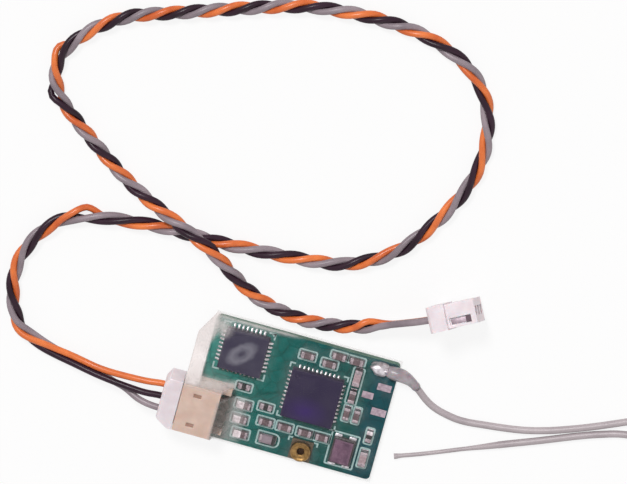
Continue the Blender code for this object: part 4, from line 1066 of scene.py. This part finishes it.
# %% Contact spring in the far plug's side
SPRING_SIZE = Vector((1.7, 0.05, 0.6)) * MM
GAP_SIZE = Vector((0.6, 0.05, 0.75)) * MM
OPENING_FROM_TIP = 0.65 * MM
OPENING_HEIGHT = 0.7 * MM
OPENING_ACROSS = 2.115 * MM
gap_x = plug_high.x - plug_low.x - OPENING_FROM_TIP - GAP_SIZE.x / 2
spring_x = gap_x - (GAP_SIZE.x + SPRING_SIZE.x) / 2
bm = bmesh.new()
block(bm, (spring_x, OPENING_ACROSS, OPENING_HEIGHT), SPRING_SIZE, 0.02 * MM)
block(bm, (gap_x, OPENING_ACROSS, OPENING_HEIGHT), GAP_SIZE, look=1)
bmesh.ops.transform(bm, matrix=FAR_PLUG_PLACE, verts=bm.verts)
ride_for(mesh_piece("far_plug_spring", bm, [SHADED_CONTACT, SHADED_GAP]), "tinned_metal")
print("spring made")

# %% Pin solder
LEG_FROM_END = 0.225 * MM
CONE_FOOT = 0.5 * MM
CONE_TIP = 0.27 * MM
# Where a cone stands, how tall it is and how far it is turned over: on the board, and below it
PIN_CONES = ((BOARD_TOP, 0.32 * MM, 0.0), (BOARD_BOTTOM, -0.12 * MM, math.pi))
bm = bmesh.new()
for i in (1, 2, 3):
    low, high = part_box(f"header_pin_{i}")
    for level, height, turned in PIN_CONES:
        cone = bmesh.ops.create_cone(bm, cap_ends=True, segments=16, radius1=CONE_FOOT, radius2=CONE_TIP,
                                     depth=abs(height))["verts"]
        at = Matrix.Translation((high.x - LEG_FROM_END, (low.y + high.y) / 2, level + height / 2))
        bmesh.ops.transform(bm, matrix=at @ Matrix.Rotation(turned, 4, "X"), verts=cone)
ride_for(mesh_piece("pin_solder", bm, [DULL_PIN]), "tinned_metal")
print("pin solder cones: 6")

# %% [markdown]
# ## Antenna joint
#
# The antenna's core ends in a lump of solder, and milky hot-melt glue holds the cable where it leaves
# the board. Solder is drawn as a squashed ball that slow noise pushes in and out. The glue is a row
# of rings along the cable, bridged into one skin that gets thinner away from the board.

# %% Solder lump
LUMP_SPREAD = 1.18
LUMP_NOISE = 1.7
LUMP_DEPTH = 0.2
# The lump's light and dark shades are painted reflections: patches of highlight and grey that the noise
# scatters over it
LUMP_SOLDER = soft_metal("matt_tin_solder_lump", "dcd7db", "958d93", 0.42, 0.5, 0.6)
low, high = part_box("antenna_solder_joint")
reach = (high - low) / 2
bm = bmesh.new()
bmesh.ops.create_icosphere(bm, subdivisions=4, radius=1.0)
for vert in bm.verts:
    vert.co *= 1.0 + LUMP_DEPTH * noise.noise(vert.co * LUMP_NOISE + Vector((3.1, 0.4, 1.2)))
    vert.co.xy *= LUMP_SPREAD
    vert.co = Vector((vert.co.x * reach.x, vert.co.y * reach.y, max(0.0, vert.co.z) * 2 * reach.z))
bmesh.ops.translate(bm, vec=foot("antenna_solder_joint"), verts=bm.verts)
bmesh.ops.recalc_face_normals(bm, faces=bm.faces)
ride_for(mesh_piece("solder_lump", bm, [LUMP_SOLDER]), "tinned_metal", "antenna_solder_joint")
core_line = [Vector((8.9, 6.35, 1.55)) * MM, Vector((9.5, 6.4, 1.6)) * MM, coax_line[0]]
ride_for(cord_curve("antenna_core", core_line, 0.3 * MM, SOLDER, 10), "tinned_metal")
print("solder lump made")

# %% Hot-melt glue
# Distance from the cable's start and radius, in millimetres
GLUE_RADII = (
    (-0.6, 0.5), (-0.2, 0.68), (0.3, 0.76), (1.1, 0.78), (1.9, 0.7), (2.8, 0.56), (3.5, 0.46), (4.0, 0.412),
)
GLUE_BEFORE_COAX = 0.9
GLUE_LUMPS = 0.9 * MM
GLUE_LUMP_DEPTH = 0.09 * MM
# Without a seed, noise vectors would come from the clock and differ each time the script runs
noise.seed_set(1)
GLUE = skin("milky_hot_melt_glue", "bab0b6", "958a92", 0.28, (0.8, 3.0), (0.3, 0.08),
            sockets={"Alpha": 0.82, "Subsurface Weight": 0.4, "Subsurface Scale": 0.5 * MM})

bm = bmesh.new()
glue_line = [coax_line[0] + (coax_line[0] - coax_line[1]) * GLUE_BEFORE_COAX, *coax_line]
at = -(glue_line[1] - glue_line[0]).length / MM
rings = []
for before, centre, after in zip([glue_line[0], *glue_line], glue_line, glue_line[1:]):
    at += (centre - before).length / MM
    if at > GLUE_RADII[-1][0]:
        break
    ring = bmesh.ops.create_circle(bm, segments=20, radius=reading(GLUE_RADII, at) * MM)["verts"]
    facing = (after - before).normalized().to_track_quat("Z", "Y").to_matrix().to_4x4()
    bmesh.ops.transform(bm, matrix=Matrix.Translation(centre) @ facing, verts=ring)
    rings.append(ring)
    glue_end = centre
for near, far in zip(rings, rings[1:]):
    around = {e for v in (*near, *far) for e in v.link_edges
              if (e.verts[0] in near) == (e.verts[1] in near) and len(e.link_faces) < 2}
    bmesh.ops.bridge_loops(bm, edges=list(around))
bmesh.ops.holes_fill(bm, edges=[e for e in bm.edges if e.is_boundary], sides=0)
for vert in bm.verts:
    # The lumps fade towards both ends, so that the ends stay round the cable
    fade = ease((vert.co - glue_line[0]).length / (1.0 * MM)) * ease((glue_end - vert.co).length / (1.8 * MM))
    vert.co += GLUE_LUMP_DEPTH * fade * noise.noise_vector(vert.co / GLUE_LUMPS)
    if vert.co.x < board_high.x + 0.1 * MM:
        vert.co.z = max(vert.co.z, BOARD_TOP + 0.01 * MM)
bmesh.ops.subdivide_edges(bm, edges=bm.edges, cuts=1, use_grid_fill=True, smooth=0.5)
bmesh.ops.recalc_face_normals(bm, faces=bm.faces)
ride_for(mesh_piece("hot_melt_glue", bm, [GLUE], sharp=80.0), "milky_glue", "antenna_glue")
print("antenna joint made")

# %% [markdown]
# ## Shrink film
#
# Clear film is pulled over the board like a sleeve. Where it can't reach the board it makes tents, and
# its loose end beside the header is milky. The sheet is a grid that hangs over the parts: each point
# takes the mean of its neighbours less a small pull, and never goes below the part under it.

# %% Film shape
FILM_CELLS = (104, 66)
FILM_PULL = 0.045 * MM
FILM_ROUNDS = 260
FILM_CLEARANCE = 0.06 * MM
FILM_THICKNESS = 0.1 * MM
FILM_AROUND = 0.1 * MM
FILM_SLANT = 0.5
DROP_PAST_BOARD = 0.35
EAR_LENGTH = 1.1 * MM
film_low, film_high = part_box("shrink_sleeve")
header_low, header_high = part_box("header_housing")
header_high = Vector((header_high.x - EAR_LENGTH, header_high.y, header_high.z))
UNDER_FILM = (
    "mcu_chip", "radio_chip", "crystal_lid", "rf_socket_shell", "antenna_solder_joint", "antenna_glue",
    "inductor", "diode", *(f"{part}_{i}" for part in ("header_pin", "resistor") for i in (1, 2, 3)),
    *(f"capacitor_{i}" for i in range(1, 16)),
)
covered = [(header_low, header_high)] + [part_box(node) for node in UNDER_FILM]
FLANGE_TOP = header_high.y + 5.0 * MM
FILM_SIDE = film_high.y - FILM_THICKNESS


def floor_under_film(x, y):
    """The highest thing under the film at this place."""
    level = BOARD_TOP - DROP_PAST_BOARD * max(0.0, board_low.x - x)
    for low, high in covered:
        if (low.x - FILM_AROUND <= x <= high.x + FILM_AROUND
                and low.y - FILM_AROUND <= y <= high.y + FILM_AROUND):
            level = max(level, high.z)
    return level + FILM_CLEARANCE


columns, rows = FILM_CELLS
spots = []
for j in range(rows + 1):
    y = -FILM_SIDE + 2 * FILM_SIDE * j / rows
    # On the header's side the film's end slants inwards above the flange
    left = film_low.x + FILM_SLANT * max(0.0, y - FLANGE_TOP)
    spots.append([(left + (film_high.x - left) * i / columns, y) for i in range(columns + 1)])
ground = [[floor_under_film(x, y) for x, y in row] for row in spots]
sheet = [row[:] for row in ground]
for _ in range(FILM_ROUNDS):
    for j in range(1, rows):
        upper, row, lower, base = sheet[j - 1], sheet[j], sheet[j + 1], ground[j]
        for i in range(columns + 1):
            west = row[i - 1] if i else row[1]
            east = row[i + 1] if i < columns else row[columns - 1]
            row[i] = max(base[i], (west + east + upper[i] + lower[i]) / 4 - FILM_PULL / 4)
print("film height, mm:", round(max(max(r) for r in sheet) / MM, 2))

# %% [markdown]
# The film is clear on the whole, and milky in a few places, which are listed here with how milky each
# is. Two of them, at the board's top-left corner and along its left edge, are painted glare. Behind the
# header the film is also painted darker, as painted shade. Each point of the sheet keeps both amounts as
# attributes, and the material reads them: haze for how much shows, and the second for how dark the
# painted shade is.

# %% Film skin
EDGE_X, EDGE_LOW, EDGE_HIGH = board_low.x / MM, board_low.y / MM, board_high.y / MM
HEADER_END, HEADER_TOP = header_high.x / MM, header_high.y / MM
SLOPE_HAZE = 0.04
SLOPE_OVER = 0.45 * MM
SKIRT_HAZE = 0.1
# The film's sides: how far out and how high each fold lies
SKIRT = (
    (film_high.y - FILM_THICKNESS / 2, 0.6 * MM), (film_high.y - FILM_THICKNESS / 2, 0.25 * MM),
    (7.1 * MM, 0.03 * MM),
)


def rise(value, start, over):
    """A smooth step up that begins at start and takes over, in millimetres."""
    return ease((value - start) / over)


def fall(value, end, over):
    """A smooth step down that takes over and is done at end, in millimetres."""
    return ease((end - value) / over)


def hump(value, centre, half):
    """A smooth hump at its centre with this half width, in millimetres."""
    return ease(1 - abs(value - centre) / half)


def film_milk(x, y):
    """How milky the film is at a place in millimetres, and how much painted shade darkens it."""
    behind = x - HEADER_END
    beside = fall(y, HEADER_TOP - 0.8, 0.5) * rise(y, EDGE_LOW, 0.4)
    # Painted shade behind the header, where its shadow falls on the film
    shade_behind_header = beside * rise(behind, -0.3, 0.3) * fall(behind, 1.9, 0.9)
    milky = (
        (0.95, fall(x, EDGE_X + 0.2, 0.5) * rise(y, HEADER_TOP, 0.3)),
        (0.5, shade_behind_header),
        (0.2, beside * rise(behind, 0.9, 0.8) * fall(behind, 3.6, 1.2)),
        (0.45, fall(behind, EAR_LENGTH / MM + 0.3, 0.3) * hump(y, HEADER_TOP + 0.35, 0.7)),
        # Painted glare: the film's milk at the board's top-left corner and along its left edge stands for
        # highlights
        (0.44, fall(math.hypot(x - EDGE_X - 0.9, y - EDGE_HIGH + 1.0), 1.7, 1.7)),
        (0.5, hump(x, EDGE_X + 0.15, 0.4) * rise(y, 3.6, 1.5)),
        (0.4, hump(y, EDGE_HIGH, 0.3) * rise(x, EDGE_X, 1.0) * fall(x, 0.0, 3.0)),
    )
    return sum(amount * place for amount, place in milky), shade_behind_header


bm = bmesh.new()
haze = bm.verts.layers.float.new("haze")
painted_shade = bm.verts.layers.float.new("painted_shade")
bmesh.ops.create_grid(bm, x_segments=columns, y_segments=rows, size=0.5)
in_order = sorted(bm.verts, key=lambda v: (round(v.co.y * rows), round(v.co.x * columns)))
for n, vert in enumerate(in_order):
    j, i = divmod(n, columns + 1)
    x, y = spots[j][i]
    vert.co = Vector((x, y, sheet[j][i]))
    slope = 0.0
    if 0 < i < columns and 0 < j < rows:
        along, across = sheet[j][i + 1] - sheet[j][i - 1], sheet[j + 1][i] - sheet[j - 1][i]
        slope = max(abs(along), abs(across)) / SLOPE_OVER
    milk, vert[painted_shade] = film_milk(x / MM, y / MM)
    vert[haze] = min(1.0, milk + SLOPE_HAZE * min(1.0, slope))
lowest = []
sides = {
    side: [e for e in bm.edges if all(abs(v.co.y - side * FILM_SIDE) < 0.001 * MM for v in e.verts)]
    for side in (-1, 1)
}
for side, edges in sides.items():
    for out, level in SKIRT:
        edges = only(bmesh.types.BMEdge, bmesh.ops.extrude_edge_only(bm, edges=edges)["geom"])
        for vert in {v for e in edges for v in e.verts}:
            vert.co.y = side * out
            vert.co.z = level + FILM_THICKNESS / 2
            vert[haze] = SKIRT_HAZE
    lowest += edges
bmesh.ops.bridge_loops(bm, edges=lowest)
bmesh.ops.recalc_face_normals(bm, faces=bm.faces)
print("film faces:", len(bm.faces))

# %% Film look
CREASE_SIZE = 1.3 * MM
CREASE_HAZE = 0.01
MOST_COVER = 0.8
FILM, tree, shader, place = new_material("clear_shrink_film")
milky = add(tree, "Attribute", attribute_name="haze").outputs["Fac"]
# The second attribute is painted shade: it turns the film's colour grey behind the header
shade = add(tree, "Attribute", attribute_name="painted_shade").outputs["Fac"]
creases = add(tree, "TexNoise", {"Scale": 1 / CREASE_SIZE, "Detail": 3.0, "Distortion": 1.2},
              {"Vector": place})
amount = add(tree, "Math", {1: CREASE_HAZE}, {0: creases}, operation="MULTIPLY")
streaks = add(tree, "MapRange", {"From Min": 0.3, "From Max": 0.7, "To Min": 0.7, "To Max": 1.15},
              {"Value": creases})
amount = add(tree, "Math", {}, {0: milky, 1: streaks, 2: amount},
             operation="MULTIPLY_ADD")
alpha = add(tree, "MapRange", {"To Max": MOST_COVER}, {"Value": amount})
bump = add(tree, "Bump", {"Strength": 0.3, "Distance": 0.1 * MM}, {"Height": creases})
dull = add(tree, "MapRange", {"To Min": 0.18, "To Max": 0.6}, {"Value": milky})
settle(tree, shader, {"IOR": 1.5}, {
    "Base Color": blend_colours(tree, shade, ((0.0, "f3ebe9"), (1.0, "9b938e"))),
    "Alpha": alpha, "Normal": bump, "Roughness": dull,
})
film = mesh_piece("shrink_film", bm, [FILM], sharp=60.0)
thick = film.modifiers.new("film_thickness", "SOLIDIFY")
thick.thickness = FILM_THICKNESS
thick.offset = 0.0
ride_for(film, "clear_film", "shrink_sleeve")
print("film made")
